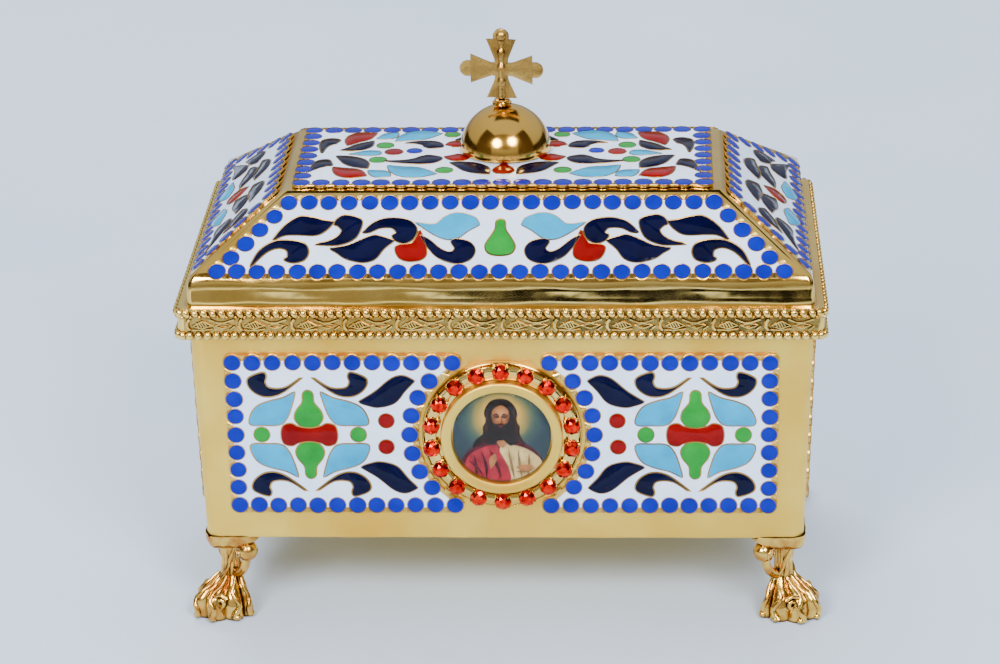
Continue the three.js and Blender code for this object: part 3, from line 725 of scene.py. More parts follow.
def drawn_in(points, amount):
    """The outline drawn in by an amount, each point along its own normal."""
    moved = []
    for i, point in enumerate(points):
        way = flat_way(points[i - 1], points[(i + 1) % len(points)])
        moved.append((point[0] - way[1] * amount, point[1] + way[0] * amount))
    return moved


def slab(maker, face, outline, low, high, look, soften=0.0):
    """A flat piece on the plate; soften rounds its upper edge."""
    levels = [(outline, low)]
    if soften:
        levels.append((outline, high - soften * 0.7))
        outline = drawn_in(outline, soften)
    levels.append((outline, high))
    maker.skin([[face.at(u, v, height) for u, v in points] for points, height in levels], look)


def round_cell(maker, face, u, v, radius, look, sides=22):
    """A round pool of enamel with a wire round it."""
    maker.skin([face.ring(radius * share, height, sides, u, v) for share, height in (
        (1.0, TRAY_T - 0.05), (1.0, POOL_T - 0.07), (0.88, POOL_T), (0.6, POOL_T + 0.06),
        (0.3, POOL_T + 0.09))], look)
    ring = face.ring(radius + 0.08, WIRE_T - 0.06 - CELL_WIRE_R, sides, u, v)
    tube(maker, ring, CELL_WIRE_R, face.out, closed=True, sides=5, look=WIRE)


def gold_point(maker, face, a, b, out):
    """The small metal point between two border cells."""
    edge = EDGE - DIP * 0.6
    points = []
    for outward, sideways, height in (
            (edge, -1.25, TRAY_T), (edge, 1.25, TRAY_T), (0.5, 0, TRAY_T),
            (edge - 0.1, -0.75, WIRE_T - 0.1),
            (edge - 0.1, 0.75, WIRE_T - 0.1), (1.0, 0, WIRE_T - 0.05)):
        points.append(face.at((a[0] + b[0]) / 2 + out[0] * outward - out[1] * sideways,
                              (a[1] + b[1]) / 2 + out[1] * outward + out[0] * sideways, height))
    maker.add(points, [[2, 1, 0], [3, 4, 5], [0, 1, 4, 3], [1, 2, 5, 4], [2, 0, 3, 5]], TRAY)


# %% Motifs
def smooth_outline(points, steps=5):
    """A closed curve through listed points; a point given as (u, v, 1) is a sharp tip."""
    curve = []
    for i, p1 in enumerate(points):
        p2 = points[(i + 1) % len(points)]
        p0 = points[i - 1] if len(p1) < 3 else None
        p3 = points[(i + 2) % len(points)] if len(p2) < 3 else None
        leave = [(p2[k] - (p0 or p1)[k]) / 2 for k in (0, 1)]
        arrive = [((p3 or p2)[k] - p1[k]) / 2 for k in (0, 1)]
        for step in range(steps):
            t = step / steps
            h = (2 * t**3 - 3 * t**2 + 1, t**3 - 2 * t**2 + t, 3 * t**2 - 2 * t**3, t**3 - t**2)
            curve.append(tuple(h[0] * p1[k] + h[1] * leave[k] + h[2] * p2[k] + h[3] * arrive[k]
                               for k in (0, 1)))
    return curve


def turned_left(outline):
    """The outline, counter-clockwise."""
    area = sum(a[0] * b[1] - b[0] * a[1] for a, b in zip(outline, outline[1:] + outline[:1]))
    return outline[::-1] if area < 0 else outline


def pool(maker, face, points, look, centre_u, su, sv, lift):
    """One pool of enamel and its wire; su and sv of -1 mirror it, lift parts it from the others."""
    outline = turned_left([(centre_u + su * u, sv * v) for u, v in smooth_outline(points)])
    outline = drawn_in(outline, -SWELL)
    slab(maker, face, outline, TRAY_T - 0.05, POOL_T + lift, look, soften=0.12)
    wire = [face.at(u, v, WIRE_T - WIRE_R) for u, v in outline]
    tube(maker, wire, WIRE_R, face.out, closed=True, sides=5, look=WIRE)


LEAF = (0, 0.62, 1.0, 0.86, 0)
DROP = (0.55, 1.0, 0.9, 0.45, 0)
COMMA = (0.62, 1.0, 1.0, 0.72, 0.45, 0.22, 0)


def blade(start, bend, end, half, kind=LEAF):
    """An outline round a curved spine; kind gives its half-widths at even steps along it."""
    left, right = [], []
    for i, share in enumerate(kind):
        t = i / (len(kind) - 1)
        u, v = [(1 - t)**2 * a + 2 * t * (1 - t) * b + t**2 * c
                for a, b, c in zip(start, bend, end)]
        du, dv = [2 * (1 - t) * (b - a) + 2 * t * (c - b) for a, b, c in zip(start, bend, end)]
        length, wide = hypot(du, dv), half * share
        if wide == 0:
            left.append((u, v, 1))
        else:
            left.append((u - dv / length * wide, v + du / length * wide))
            right.append((u + dv / length * wide, v - du / length * wide))
    return left + right[::-1]


# %% One plate
def enamel_plate(name, node, face, cells, motifs, discs=(), centre_u=0.0, full=1.06):
    """A tray, its ground, its border of round cells and its motifs."""
    maker = Maker()
    slab(maker, face, scalloped_edge(cells), 0.0, TRAY_T, TRAY, soften=0.1)
    ground = []
    for i, (u, v) in enumerate(cells):
        first, last = outwards(cells, i)
        mean = (first[0] + last[0], first[1] + last[1])
        ground.append((u + mean[0] / hypot(*mean) * 0.6, v + mean[1] / hypot(*mean) * 0.6))
    slab(maker, face, ground, TRAY_T - 0.05, GROUND_T, WHITE)
    for i, (u, v) in enumerate(cells):
        stray_u, stray_v = random.uniform(-0.12, 0.12), random.uniform(-0.12, 0.12)
        radius = CELL_R * full * random.uniform(0.97, 1.03)
        round_cell(maker, face, u + stray_u, v + stray_v, radius, COBALT)
        gold_point(maker, face, (u, v), cells[(i + 1) % len(cells)], outwards(cells, i)[1])
    for i, (points, look, flips) in enumerate(motifs):
        for su, sv in flips:
            pool(maker, face, points, look, centre_u, su, sv, lift=0.1 * i / len(motifs))
    for u, v, radius, look in discs:
        round_cell(maker, face, u, v, radius, look)
    make_piece(name, maker, enamel_slots, [node], sharp=40)


ONCE = [(1, 1)]
PAIR = [(1, 1), (-1, 1)]
UP_DOWN = [(1, 1), (1, -1)]
ALL_FOUR = [(1, 1), (-1, 1), (1, -1), (-1, -1)]

# %% [markdown]
# ## Plates beside the medallion
# Two front plates flank the medallion and are cut out round it, so their border turns into an
# arc there. The design is made of mirrored pairs: navy commas at the top and bottom, turquoise
# wings, a red bar with a green drop above and below it. Only one of each is drawn, and the
# mirror makes the rest, as the enameller's own template would have.

# %% Front plates
face_left, face_right = Face("plate_front_left"), Face("plate_front_right")
medal_low, medal_high = node_box("medallion_flange")
MEDAL_R = (medal_high.x - medal_low.x) / 2
ARC_R = MEDAL_R + 0.75 + EDGE
ARC_STEP, ARC_GAP = radians(13.1), radians(10)
low_u, _, low_v, high_v = face_left.span
half_v, outer = (high_v - low_v) / 2 - EDGE, low_u + EDGE
inner = -sqrt(ARC_R**2 - half_v**2)
reach = int((atan2(half_v, -inner) - ARC_GAP) / ARC_STEP)
cells_left = along((outer, -half_v), (inner, -half_v), FRONT_PITCH) + [(inner, -half_v)]
cells_left += [(-ARC_R * cos(i * ARC_STEP), ARC_R * sin(i * ARC_STEP))
               for i in range(-reach, reach + 1)]
cells_left += along((inner, half_v), (outer, half_v), FRONT_PITCH)
cells_left += along((outer, half_v), (outer, -half_v), FRONT_PITCH)
cells_right = [(-u, v) for u, v in cells_left][::-1]
for face in (face_left, face_right):
    face.origin = face.origin + face.up * ((low_v + high_v) / 2)
DESIGN_U = -52.9                  # middle of the mirrored design, left of the medallion

comma = [(-12.2, 18.6), (-16.1, 16.8), (-15.4, 13.8), (-12.0, 11.7), (-7.5, 12.5), (-1.25, 17.4, 1),
         (-6.1, 14.1), (-10.4, 14.0), (-11.7, 15.8), (-11.3, 17.6)]
wing = [(-3.6, 12.8, 1), (-6.8, 11.0), (-10.8, 9.9), (-14.0, 8.4), (-15.7, 6.0), (-16.0, 3.2),
        (-12.0, 3.0),
        (-8.0, 3.2), (-5.9, 5.4), (-4.6, 9.0)]
green_drop = [(0, 13.2), (1.2, 12.3), (1.5, 9.6), (3.3, 7.0), (3.7, 4.8), (2.3, 2.9), (0, 2.4)]
green_drop += [(-u, v) for u, v in green_drop[-2:0:-1]]
red_bar = [(-7.6, 0), (-7.0, 2.5), (-4.9, 3.2), (-3.1, 2.3), (0, 1.8), (3.1, 2.3), (4.9, 3.2),
           (7.0, 2.5),
           (7.6, 0)]
red_bar += [(u, -v) for u, v in red_bar[-2:0:-1]]
s_leaf = [(14.1, 9.9, 1), (18.5, 12.8), (23.0, 16.7), (26.2, 17.6), (29.2, 16.2, 1), (26.6, 13.4),
          (23.7, 9.8), (19.3, 8.5), (16.2, 9.1)]
wall_motifs = [(comma, NAVY, ALL_FOUR), (wing, TURQUOISE, ALL_FOUR), (green_drop, GREEN, UP_DOWN),
               (red_bar, RED, ONCE)]
front_motifs = wall_motifs + [(s_leaf, NAVY, UP_DOWN)]
front_discs = [(DESIGN_U - 13.1, 0, 2.2, GREEN), (DESIGN_U + 13.5, 0, 2.2, GREEN),
               (DESIGN_U + 21.3, 4.2, 2.15, RED), (DESIGN_U + 21.1, -3.7, 2.15, RED)]
enamel_plate("front_plate_left", "plate_front_left", face_left, cells_left, front_motifs,
             front_discs, DESIGN_U)
enamel_plate("front_plate_right", "plate_front_right", face_right, cells_right,
             [([(-p[0], *p[1:]) for p in points], look, flips)
              for points, look, flips in front_motifs],
             [(-u, *rest) for u, *rest in front_discs], -DESIGN_U)
print(f"front border: {len(cells_left)} cells on each plate")

# %% [markdown]
# ## Plates on the slopes
# The long slopes carry a running scroll of commas and leaves, mirrored about a green drop in
# the middle. The short slopes have a smaller design of the same kind. The borders come from the
# plate's own corners, so a longer lid would simply get more cells.


# %% Slope plates
def corner_cells(face):
    """Border of a four-sided plate whose lower corners become its origin, and its height."""
    low_u, high_u, low_v, high_v = face.span
    middle_u, height = (low_u + high_u) / 2, high_v - low_v
    low_half = max(u for u, v in face.flat if v < low_v + 0.1) - middle_u
    top_half = max(u for u, v in face.flat if v > high_v - 0.1) - middle_u
    face.origin = face.origin + face.up * low_v + face.right * middle_u
    return border([(-low_half, EDGE), (low_half, EDGE), (top_half, height - EDGE),
                   (-top_half, height - EDGE)], LID_PITCH), height


long_motifs = [
    ([(-1.0, 18.2), (0, 18.8), (1.0, 18.2), (1.3, 15.6), (2.9, 12.8), (3.9, 10.4), (2.9, 8.3),
      (0, 7.7),
      (-2.9, 8.3), (-3.9, 10.4), (-2.9, 12.8), (-1.3, 15.6)], GREEN, ONCE),
    ([(-67.5, 4.1, 1), (-65.2, 9.1), (-61.4, 11.9), (-57.1, 12.3), (-53.3, 11.3), (-52.0, 8.8),
      (-53.0, 6.3), (-56.0, 5.5), (-58.2, 6.3), (-57.4, 7.5), (-57.9, 9.4), (-60.4, 10.0),
      (-63.6, 8.5)], NAVY, PAIR),
    ([(-61.7, 12.5, 1), (-58.7, 16.9), (-54.9, 19.7), (-51.1, 19.4), (-47.9, 18.5),
      (-45.4, 18.2, 1),
      (-47.3, 15.7), (-50.1, 14.1), (-55.5, 14.2), (-58.7, 14.0)], NAVY, PAIR),
    ([(-41.9, 20.1), (-38.1, 18.8), (-38.1, 16.0), (-39.8, 12.8), (-44.1, 11.0), (-50.3, 11.1, 1),
      (-46.8, 11.9), (-44.1, 13.5), (-43.0, 15.4), (-44.1, 16.9), (-45.1, 17.5),
      (-44.1, 19.4)], NAVY, PAIR),
    ([(-46.0, 9.7, 1), (-41.4, 10.6), (-38.1, 12.2), (-34.3, 13.8), (-31.6, 13.2), (-28.9, 12.2, 1),
      (-31.6, 9.7), (-33.8, 6.6), (-37.0, 5.6), (-41.4, 6.6), (-44.1, 8.5)], NAVY, PAIR),
    ([(-37.3, 14.7, 1), (-34.3, 17.9), (-30.0, 19.2), (-25.1, 18.5), (-22.9, 16.0), (-23.5, 13.2),
      (-25.7, 11.6), (-28.1, 12.2), (-29.2, 13.8), (-28.1, 14.7), (-29.4, 16.3), (-32.7, 16.3),
      (-35.4, 15.0)], NAVY, PAIR),
    ([(-21.9, 15.3, 1), (-22.5, 13.5), (-24.1, 11.2), (-27.8, 10.6), (-28.1, 8.8), (-26.7, 6.6),
      (-24.0, 5.9),
      (-21.0, 6.6), (-20.0, 8.5), (-20.8, 12.2)], RED, PAIR),
    ([(-22.9, 17.9, 1), (-18.1, 17.2), (-14.3, 20.1), (-11.0, 20.7), (-7.2, 19.4), (-5.9, 17.2, 1),
      (-8.8, 15.4), (-11.6, 13.2), (-14.8, 12.8), (-18.6, 14.7)], TURQUOISE, PAIR),
    ([(-21.6, 13.8, 1), (-19.1, 9.7), (-16.4, 6.9), (-12.1, 5.3), (-8.3, 6.3), (-6.9, 9.1),
      (-8.3, 11.6),
      (-11.6, 12.5), (-13.1, 11.9), (-12.1, 9.7), (-13.7, 8.5), (-16.4, 9.7), (-19.1, 12.2)], NAVY,
      PAIR),
]
short_motifs = [
    ([(0, 15.0, 1), (-3.2, 11.6), (-3.0, 8.6), (0, 7.4), (3.0, 8.6), (3.2, 11.6)], RED, ONCE),
    (blade((-17.0, 18.0), (-9.2, 20.6), (-2.2, 17.2), 2.7), NAVY, PAIR),
    (blade((-18.6, 13.2), (-11.6, 15.6), (-4.6, 11.2), 2.7), NAVY, PAIR),
    (blade((-29.4, 10.2), (-26.0, 16.2), (-19.6, 15.6), 2.7), NAVY, PAIR),
    (blade((-19.4, 9.0), (-24.4, 9.6), (-34.6, 4.6), 2.6, COMMA), NAVY, PAIR),
    (blade((-17.0, 6.8), (-10.6, 4.6), (-4.6, 6.6), 2.5), TURQUOISE, PAIR),
]
for side, heading in SIDES.items():
    face = Face(f"plate_slope_{side}", heading)
    cells, height = corner_cells(face)
    design = long_motifs if side in ("front", "back") else short_motifs
    enamel_plate(f"slope_plate_{side}", f"plate_slope_{side}", face, cells, design)
    print(f"{side} slope: {len(cells)} cells, plate {height:.1f} mm high")

# %% [markdown]
# ## Plate of the flat top
# The dome stands on this plate, a little behind its middle, and the design runs out from it
# both ways along a line that also lies a little behind the border's middle. It is drawn for the
# left half and mirrored.

# %% Top plate
face_top = Face("plate_top", UP, (0, 1, 0))
top_cells, top_depth = corner_cells(face_top)
middle_v = top_depth / 2
top_half = [
    (blade((-47.9, 12.0), (-52.4, 13.4), (-51.6, 2.4), 2.5, COMMA), NAVY),
    (blade((-48.6, -5.2), (-51.4, -6.0), (-54.4, -13.6), 2.6, COMMA), NAVY),
    (blade((-44.8, 8.8), (-43.6, 16.4), (-37.4, 19.2), 3.2), RED),
    (blade((-47.4, -9.6), (-43.4, -15.0), (-37.8, -16.6), 3.5), RED),
    (blade((-46.4, 4.8), (-41.0, 5.4), (-37.8, 12.4), 2.2), NAVY),
    (blade((-47.2, -0.2), (-42.0, -3.4), (-38.0, -10.8), 3.0), NAVY),
    (blade((-35.4, 2.4), (-39.2, 1.8), (-43.6, 1.4), 1.9, DROP), TURQUOISE),
    (blade((-36.8, 14.6), (-33.8, 15.6), (-31.4, 19.6), 2.1), TURQUOISE),
    (blade((-37.4, -12.4), (-34.4, -15.2), (-31.2, -16.8), 2.5), TURQUOISE),
    (blade((-31.4, 12.0), (-27.2, 18.0), (-18.8, 18.8), 3.5), TURQUOISE),
    (blade((-32.2, -8.4), (-27.6, -15.0), (-18.6, -15.0), 3.9), TURQUOISE),
    (blade((-19.6, 6.8), (-21.4, 12.4), (-28.4, 10.6), 2.5, COMMA), NAVY),
    (blade((-19.4, -0.8), (-22.8, -6.8), (-33.4, -4.4), 3.0, COMMA), NAVY),
    (blade((-17.0, 9.1), (-14.6, 10.6), (-11.8, 8.6), 2.3), RED),
    (blade((-16.8, -1.0), (-13.6, -2.6), (-9.8, -0.8), 2.6), RED),
    (blade((-15.0, -6.0), (-8.6, -8.2), (-4.0, -15.6), 3.3), NAVY),
    (blade((-14.4, 13.2), (-9.4, 14.2), (-4.6, 18.8), 2.7), NAVY),
]
middle_drop = (blade((0, -14.8), (0, -11.0), (0, -6.4), 2.7, DROP), RED, ONCE)
top_motifs = [([(p[0], p[1] + middle_v, *p[2:]) for p in points], look, flips)
              for points, look, flips in [(*half, PAIR) for half in top_half] + [middle_drop]]
top_discs = [(side * u, middle_v + v, radius, look) for side in (-1, 1) for u, v, radius, look in (
    (31.4, 3.3, 2.5, RED), (25.6, 4.1, 2.1, COBALT), (34.2, 8.8, 2.4, GREEN),
    (35.4, -3.4, 2.4, GREEN),
    (15.6, 18.0, 2.2, GREEN), (16.4, -12.1, 2.4, GREEN))]
enamel_plate("top_plate", "plate_top", face_top, top_cells, top_motifs, top_discs, full=1.12)

# %% [markdown]
# ## Plates of the side and back walls
# These sides hardly show, so their plates are finished in keeping with the front and plainer: a
# border of round cells and a few large leaves.


# %% Side and back plates
def wall_cells(face):
    """Border of an upright plate whose middle becomes its origin."""
    low_u, high_u, low_v, high_v = face.span
    face.origin = face.origin + face.right * (low_u + high_u) / 2 + face.up * (low_v + high_v) / 2
    u, v = (high_u - low_u) / 2 - EDGE, (high_v - low_v) / 2 - EDGE
    return border([(-u, -v), (u, -v), (u, v), (-u, v)], FRONT_PITCH)


end_motifs = wall_motifs + [(blade((18.4, 6.0), (25.0, 9.6), (31.4, 15.4), 2.4), NAVY, ALL_FOUR)]
end_discs = [(u, 0, radius, look) for radius, look, us in (
    (2.2, RED, (-22.6, 22.6)), (2.1, GREEN, (-13.4, 13.4))) for u in us]
for side in ("left", "right"):
    face = Face(f"plate_{side}", SIDES[side])
    enamel_plate(f"end_plate_{side}", f"plate_{side}", face, wall_cells(face), end_motifs,
                 end_discs)
face = Face("plate_back", SIDES["back"])
back_motifs, back_discs = [], []
for shift in (-46.0, 0.0, 46.0):
    back_motifs += [([(shift + su * p[0], sv * p[1], *p[2:]) for p in points], look, ONCE)
                    for points, look, flips in wall_motifs for su, sv in flips]
    back_discs += [(shift - 13.4, 0, 2.1, GREEN), (shift + 13.4, 0, 2.1, GREEN)]
for shift in (-23.0, 23.0):
    back_discs += [(shift, 0, 2.2, RED), (shift, 8.0, 1.6, COBALT), (shift, -8.0, 1.6, COBALT)]
enamel_plate("back_plate", "plate_back", face, wall_cells(face), back_motifs, back_discs)

# %% [markdown]
# ## The medallion
# A turned flange with a wire round its rim carries 18 cut stones in claw settings and, inside
# them, a smooth bezel that holds a small picture under a clear domed cover. Round parts are
# turned on a lathe, so they are made here as a profile spun about the middle; it is quicker
# than cutting them from a block, and the rims come out truly round.


# %% Turned parts
def spin(maker, spot, profile, sides=72, look=0, loop=False):
    """A skin spun from a profile of radius and height."""
    maker.skin([spot.ring(max(radius, 0.01), height, sides) for radius, height in profile], look,
               loop)


medal = Face("medallion_flange")
medal.origin = medal.origin + medal.up * (medal.span[2] + medal.span[3]) / 2
FLANGE_T, WIRE_W, GAP = medal.depth, 0.8, 0.3
GROOVE = FLANGE_T - 0.4
flange = Maker()
spin(flange, medal, [(0, 0)] + [(MEDAL_R - inward, height) for inward, height in (
    (0.1, 0), (0, 0.2), (0, FLANGE_T - 0.45), (WIRE_W * 0.25, FLANGE_T - 0.12),
    (WIRE_W * 0.5, FLANGE_T),
    (WIRE_W * 0.75, FLANGE_T - 0.12), (WIRE_W, GROOVE), (WIRE_W + 0.3, GROOVE),
    (WIRE_W + 0.6, FLANGE_T - 0.05), (WIRE_W + 1.0, FLANGE_T))] + [(0, FLANGE_T)], sides=120)
make_piece("medallion_flange_ring", flange, [polished_sheet], ["medallion_flange"])


def seat(node):
    """How far a part of the medallion lies before the flange's foot, its height and its radius."""
    face, (low, high) = Face(node), node_box(node)
    lift = face.origin.dot(medal.out) - medal.origin.dot(medal.out)
    return lift, face.depth, (high.x - low.x) / 2


# %% [markdown]
# ## Stones and their settings
# The stones are cut glass with foil behind them: that is why they glow from inside but are not
# seen through. Each facet mirrors another part of the room, so the facets are real flat faces,
# and some of them are coloured a darker red as painted shade.
# Each stone sits in a little cup, held by four claws, and the cups are joined in a ring.

# %% Red cut glass
# two reds for the facets: this one for the facets that look lit
ruby_glass_lit = clouded("cut glass on foil, orange red", {"Roughness": 0.12, "Metallic": 1.0},
                     1.5, 1.0,
                     [(0.3, "#F23A12"), (0.5, "#DE1404"), (0.72, "#A80802")])
# and a darker copy, painted shade, for the facets that look shaded
ruby_painted_shade = clouded("cut glass on foil, deep red painted shade", {"Roughness": 0.12, "Metallic": 1.0}, 1.5, 1.0,
                    [(0.3, "#DA1404"), (0.7, "#7E0602")])

# %% Stones
STONES = 18
STONE_LIFT, STONE_H, STONE_R = seat("stone_01")
SETTING_LIFT, SETTING_H, _ = seat("stone_settings")
RING_R, CUP_R = MEDAL_R - STONE_R - 0.15, STONE_R + 0.1
stones, settings = Maker(), Maker()


def cut_stone(spot, radius, height):
    """Table, two rows of crown facets and a girdle."""
    sides = 8
    points = [p for share, rise, turn in ((0.52, 1, 0), (0.80, 0.66, 0.5), (1, 0.26, 0), (1, 0, 0))
              for p in spot.ring(radius * share, height * rise, sides, turn=turn)]
    faces, looks = [list(range(sides))], [0]
    for k in range(sides):
        j = (k + 1) % sides
        faces += [[k, sides + k, j], [j, sides + k, 2 * sides + j, sides + j],
                  [sides + k, 2 * sides + k, 2 * sides + j],
                  [2 * sides + k, 3 * sides + k, 3 * sides + j, 2 * sides + j]]
        # the table and upper kites take the lit red, the star and lower facets alternate, the
        # girdle and back take the red of painted shade
        looks += [k % 2, 0, (k + 1) % 2, 1]
    faces.append([3 * sides + k for k in range(sides)][::-1])
    stones.add(points, faces, looks + [1])


for i in range(STONES):
    angle = pi / 2 + 2 * pi * i / STONES
    u, v = RING_R * cos(angle), RING_R * sin(angle)
    twist = random.uniform(0, pi / 4)
    spot, cup = medal.moved(u, v, STONE_LIFT), medal.moved(u, v, SETTING_LIFT)
    spot.right, spot.up = (spot.right * cos(twist) + spot.up * sin(twist),
                           spot.up * cos(twist) - spot.right * sin(twist))
    cut_stone(spot, STONE_R * 1.06, STONE_H)
    spin(settings, cup, [(0, 0), (CUP_R * 0.86, 0), (CUP_R, SETTING_H * 0.5), (CUP_R, SETTING_H),
                         (CUP_R - 0.35, SETTING_H + 0.12), (0, SETTING_H + 0.12)], sides=20)
    for claw in range(4):
        turn = angle + pi / 4 + claw * pi / 2
        cu, cv = cos(turn), sin(turn)
        path = [cup.at(cu * r, cv * r, height) for r, height in (
            (CUP_R + 0.02, 0.2), (CUP_R + 0.06, SETTING_H + 0.2), (CUP_R * 0.93, SETTING_H + 0.72),
            (CUP_R * 0.74, SETTING_H + 1.12))]
        tube(settings, path, 0.30, medal.right * -cv + medal.up * cu, sides=8,
             taper=lambda t: 1.0 - 0.35 * t)
spin(settings, medal.moved(0, 0, SETTING_LIFT), [(RING_R + out, SETTING_H * rise) for out, rise in (
    (-1.5, 0), (1.5, 0), (1.45, 0.5), (0.9, 0.78), (0, 0.86), (-0.9, 0.78), (-1.45, 0.5))],
    sides=120, loop=True)
make_piece("red_stones", stones, [ruby_glass_lit, ruby_painted_shade],
           [f"stone_{i + 1:02d}" for i in range(STONES)], sharp=4)
make_piece("claw_settings", settings, [polished_sheet], ["stone_settings"])
print(f"{STONES} stones of {2 * STONE_R:.1f} mm")

# %% [markdown]
# ## Bezel, picture and cover
# The bezel is one smooth satin ring. The picture in it is a small painted bust: a bearded
# figure with a halo, on slate blue. It is made of flat painted areas, one behind another like
# cut paper, on plain proportions: eyes half way down the head, the nose half way from there to
# the chin, the mouth a third of the way from nose to chin. The cover over it is clear.

# %% Bezel
picture_lift, PICTURE_T, PICTURE_R = seat("picture_disc")
bezel_lift, BEZEL_H, BEZEL_R = seat("medallion_bezel")
picture_spot = medal.moved(0, 0, picture_lift)
SEAT_R = PICTURE_R + GAP
bezel = Maker()
spin(bezel, medal.moved(0, 0, bezel_lift), [(SEAT_R, 0)] + [
    (BEZEL_R - inward, height) for inward, height in (
    (0.1, 0), (0, 0.15), (0, BEZEL_H * 0.62), (0.08, BEZEL_H * 0.80), (0.25, BEZEL_H * 0.92),
    (0.5, BEZEL_H * 0.98), (0.8, BEZEL_H), (1.2, BEZEL_H * 0.985))] + [
    (SEAT_R + 0.45, BEZEL_H * 0.86), (SEAT_R + 0.12, BEZEL_H * 0.80), (SEAT_R, BEZEL_H * 0.70)],
    sides=120, loop=True)
make_piece("bezel_ring", bezel, [satin_sheet], ["medallion_bezel"])

# %% Paints
HEAD_U, HEAD_V, HEAD_H, HEAD_W = -0.3, 6.0, 8.0, 5.0        # middle, height and width of the head
PAINT = {"Roughness": 0.6, "IOR": 1.5, "Specular IOR Level": 0.1}


def graded_paint(name, stops, size, centre, reach):
    """Thin matt paint, clouded by noise, whose tones run outwards from a centre (u, v)."""
    material, tree, shader = start_material(name, PAINT)
    place = object_place(tree)
    away = add_node(tree, "ShaderNodeVectorMath", {
        0: place, 1: picture_spot.at(*centre, PICTURE_T) * MM}, operation="DISTANCE")
    cloud = add_node(tree, "ShaderNodeMath", {
        0: noise_at(tree, place, size, 3.0), 1: 0.2, 2: -0.1}, operation="MULTIPLY_ADD")
    share = add_node(tree, "ShaderNodeMath", {
        0: away.outputs["Value"], 1: 1 / (reach * MM), 2: cloud.outputs[0]},
        operation="MULTIPLY_ADD")
    tint(tree, shader, ramp(tree, share.outputs[0], stops))
    return material


def flat_paint(name, light, dark, size=2.0):
    return clouded(name, PAINT, size, 3.0, [(0.3, light), (0.7, dark)])


paints = [
    graded_paint("painted ground, halo to slate", [
        (0.40, "#C0953E"), (0.54, "#8A7638"), (0.68, "#4A5640"), (0.80, "#33443F"),
        (1.0, "#26343A")],
        5, (HEAD_U, HEAD_V - 0.4), 12.0),
    flat_paint("painted hair, brown", "#1E130C", "#0C0705", 1.2),
    graded_paint("painted skin", [(0.15, "#BC7C48"), (0.55, "#8E542A"), (1.0, "#4E2A14")],
                 1.6, (HEAD_U + 0.4, HEAD_V + 0.7), 4.2),
    flat_paint("painted skin in shade", "#7A4424", "#5E3218"),
    flat_paint("painted hands", "#A87044", "#84522E"),
    flat_paint("painted shade", "#3E2012", "#2C150B"),
    flat_paint("painted mantle, rose", "#A02430", "#6E141E", 2.6),
    flat_paint("painted folds, wine", "#4E0E18", "#30080E"),
    flat_paint("painted robe, cream", "#D6BC80", "#A4864E", 2.6),
    flat_paint("painted folds, tan", "#846A40", "#604A28"),
]
HALO, HAIR, SKIN, DUSK, FLESH, SHADE, ROSE, FOLD, CREAM, TAN = range(10)

# %% Picture
picture = Maker()
LAYER, GROUND_LOW = 0.018, PICTURE_T - 0.3
layers = 0
spin(picture, picture_spot, [(0, 0), (PICTURE_R, 0), (PICTURE_R, GROUND_LOW), (0, GROUND_LOW)],
     look=HALO)


def painted(points, look, smooth=True):
    """One painted area, a hair's breadth above the one before, kept inside the disc."""
    global layers
    kept, limit = [], PICTURE_R - 0.15
    for u, v in (smooth_outline(points, 6) if smooth else points):
        reach = hypot(u, v)
        kept.append((u * limit / reach, v * limit / reach) if reach > limit else (u, v))
    low = GROUND_LOW + LAYER * layers
    slab(picture, picture_spot, turned_left(kept), low, low + LAYER, look)
    layers += 1


def oval(u, v, half_u, half_v, count=24):
    angles = [2 * pi * k / count for k in range(count)]
    return [(u + half_u * cos(a), v + half_v * sin(a)) for a in angles]


def on_head(*points):
    return [(HEAD_U + u, v) for u, v in points]


painted([(-4.2, 9.0), (-4.8, 6.8), (-4.3, 4.8), (-5.2, 2.8), (-5.2, 0.8), (-6.9, -0.8),
         (-8.0, -2.8), (-6.4, -4.2),
         (0, -3.0), (5.4, -4.4), (6.8, -2.8), (5.5, -0.6), (4.9, 1.2), (5.0, 3.0), (4.1, 4.8),
         (4.4, 6.8),
         (3.7, 9.0), (2.0, 10.9), (-0.3, 11.4), (-2.6, 10.9)], HAIR)
for side in (-1, 1):
    painted(blade((side * 3.2 - 0.3, 8.6), (side * 4.4, 4.4), (side * 4.3, 0.4), 0.3), SHADE)
    painted(blade((side * 3.4 - 0.3, 3.4), (side * 4.4, -0.6), (side * 6.0, -2.8), 0.32), SHADE)
painted([(-3.2, -1.6), (-8.4, -3.6), (-11.0, -7.0), (-12.8, -13), (0, -13.4), (12.8, -13),
         (11.2, -7.2),
         (8.0, -3.2), (3.4, -1.4), (0, -2.2)], FOLD)
painted([(0.4, -2.2), (3.4, -2.6), (7.6, -4.2), (10.8, -7.4), (9.6, -10.4), (7.0, -13.4),
         (1.6, -13.4),
         (1.8, -9.4), (-0.6, -4.6)], CREAM)
painted([(-1.8, -2.4), (-5.2, -3.2), (-8.8, -5.4), (-10.2, -8.6), (-9.6, -12.6), (-3.4, -13.4),
         (2.0, -13.4),
         (1.8, -9.6), (-0.6, -4.4)], ROSE)
painted([(-1.4, 1.0), (-1.5, -1.6), (0, -3.4), (1.5, -1.9), (1.1, 1.0)], FLESH)
painted([(-4.2, 1.6), (-4.6, -1.4), (-2.6, -2.6), (-1.1, -1.3), (-0.3, -0.9), (0.7, -1.3),
         (2.4, -2.8),
         (4.2, -1.4), (3.8, 1.6), (-0.3, 3.0)], HAIR)
painted(oval(HEAD_U, HEAD_V, HEAD_W / 2, HEAD_H / 2), SKIN, False)
painted([(-2.9, 6.2), (-3.0, 3.0), (-2.2, 0.2), (-0.3, -1.2), (1.6, 0.2), (2.4, 3.0), (2.3, 6.2),
         (1.75, 4.5), (1.1, 3.9), (0.4, 3.85), (-0.3, 3.95), (-1.0, 3.85), (-1.7, 3.9),
         (-2.35, 4.5)], HAIR)
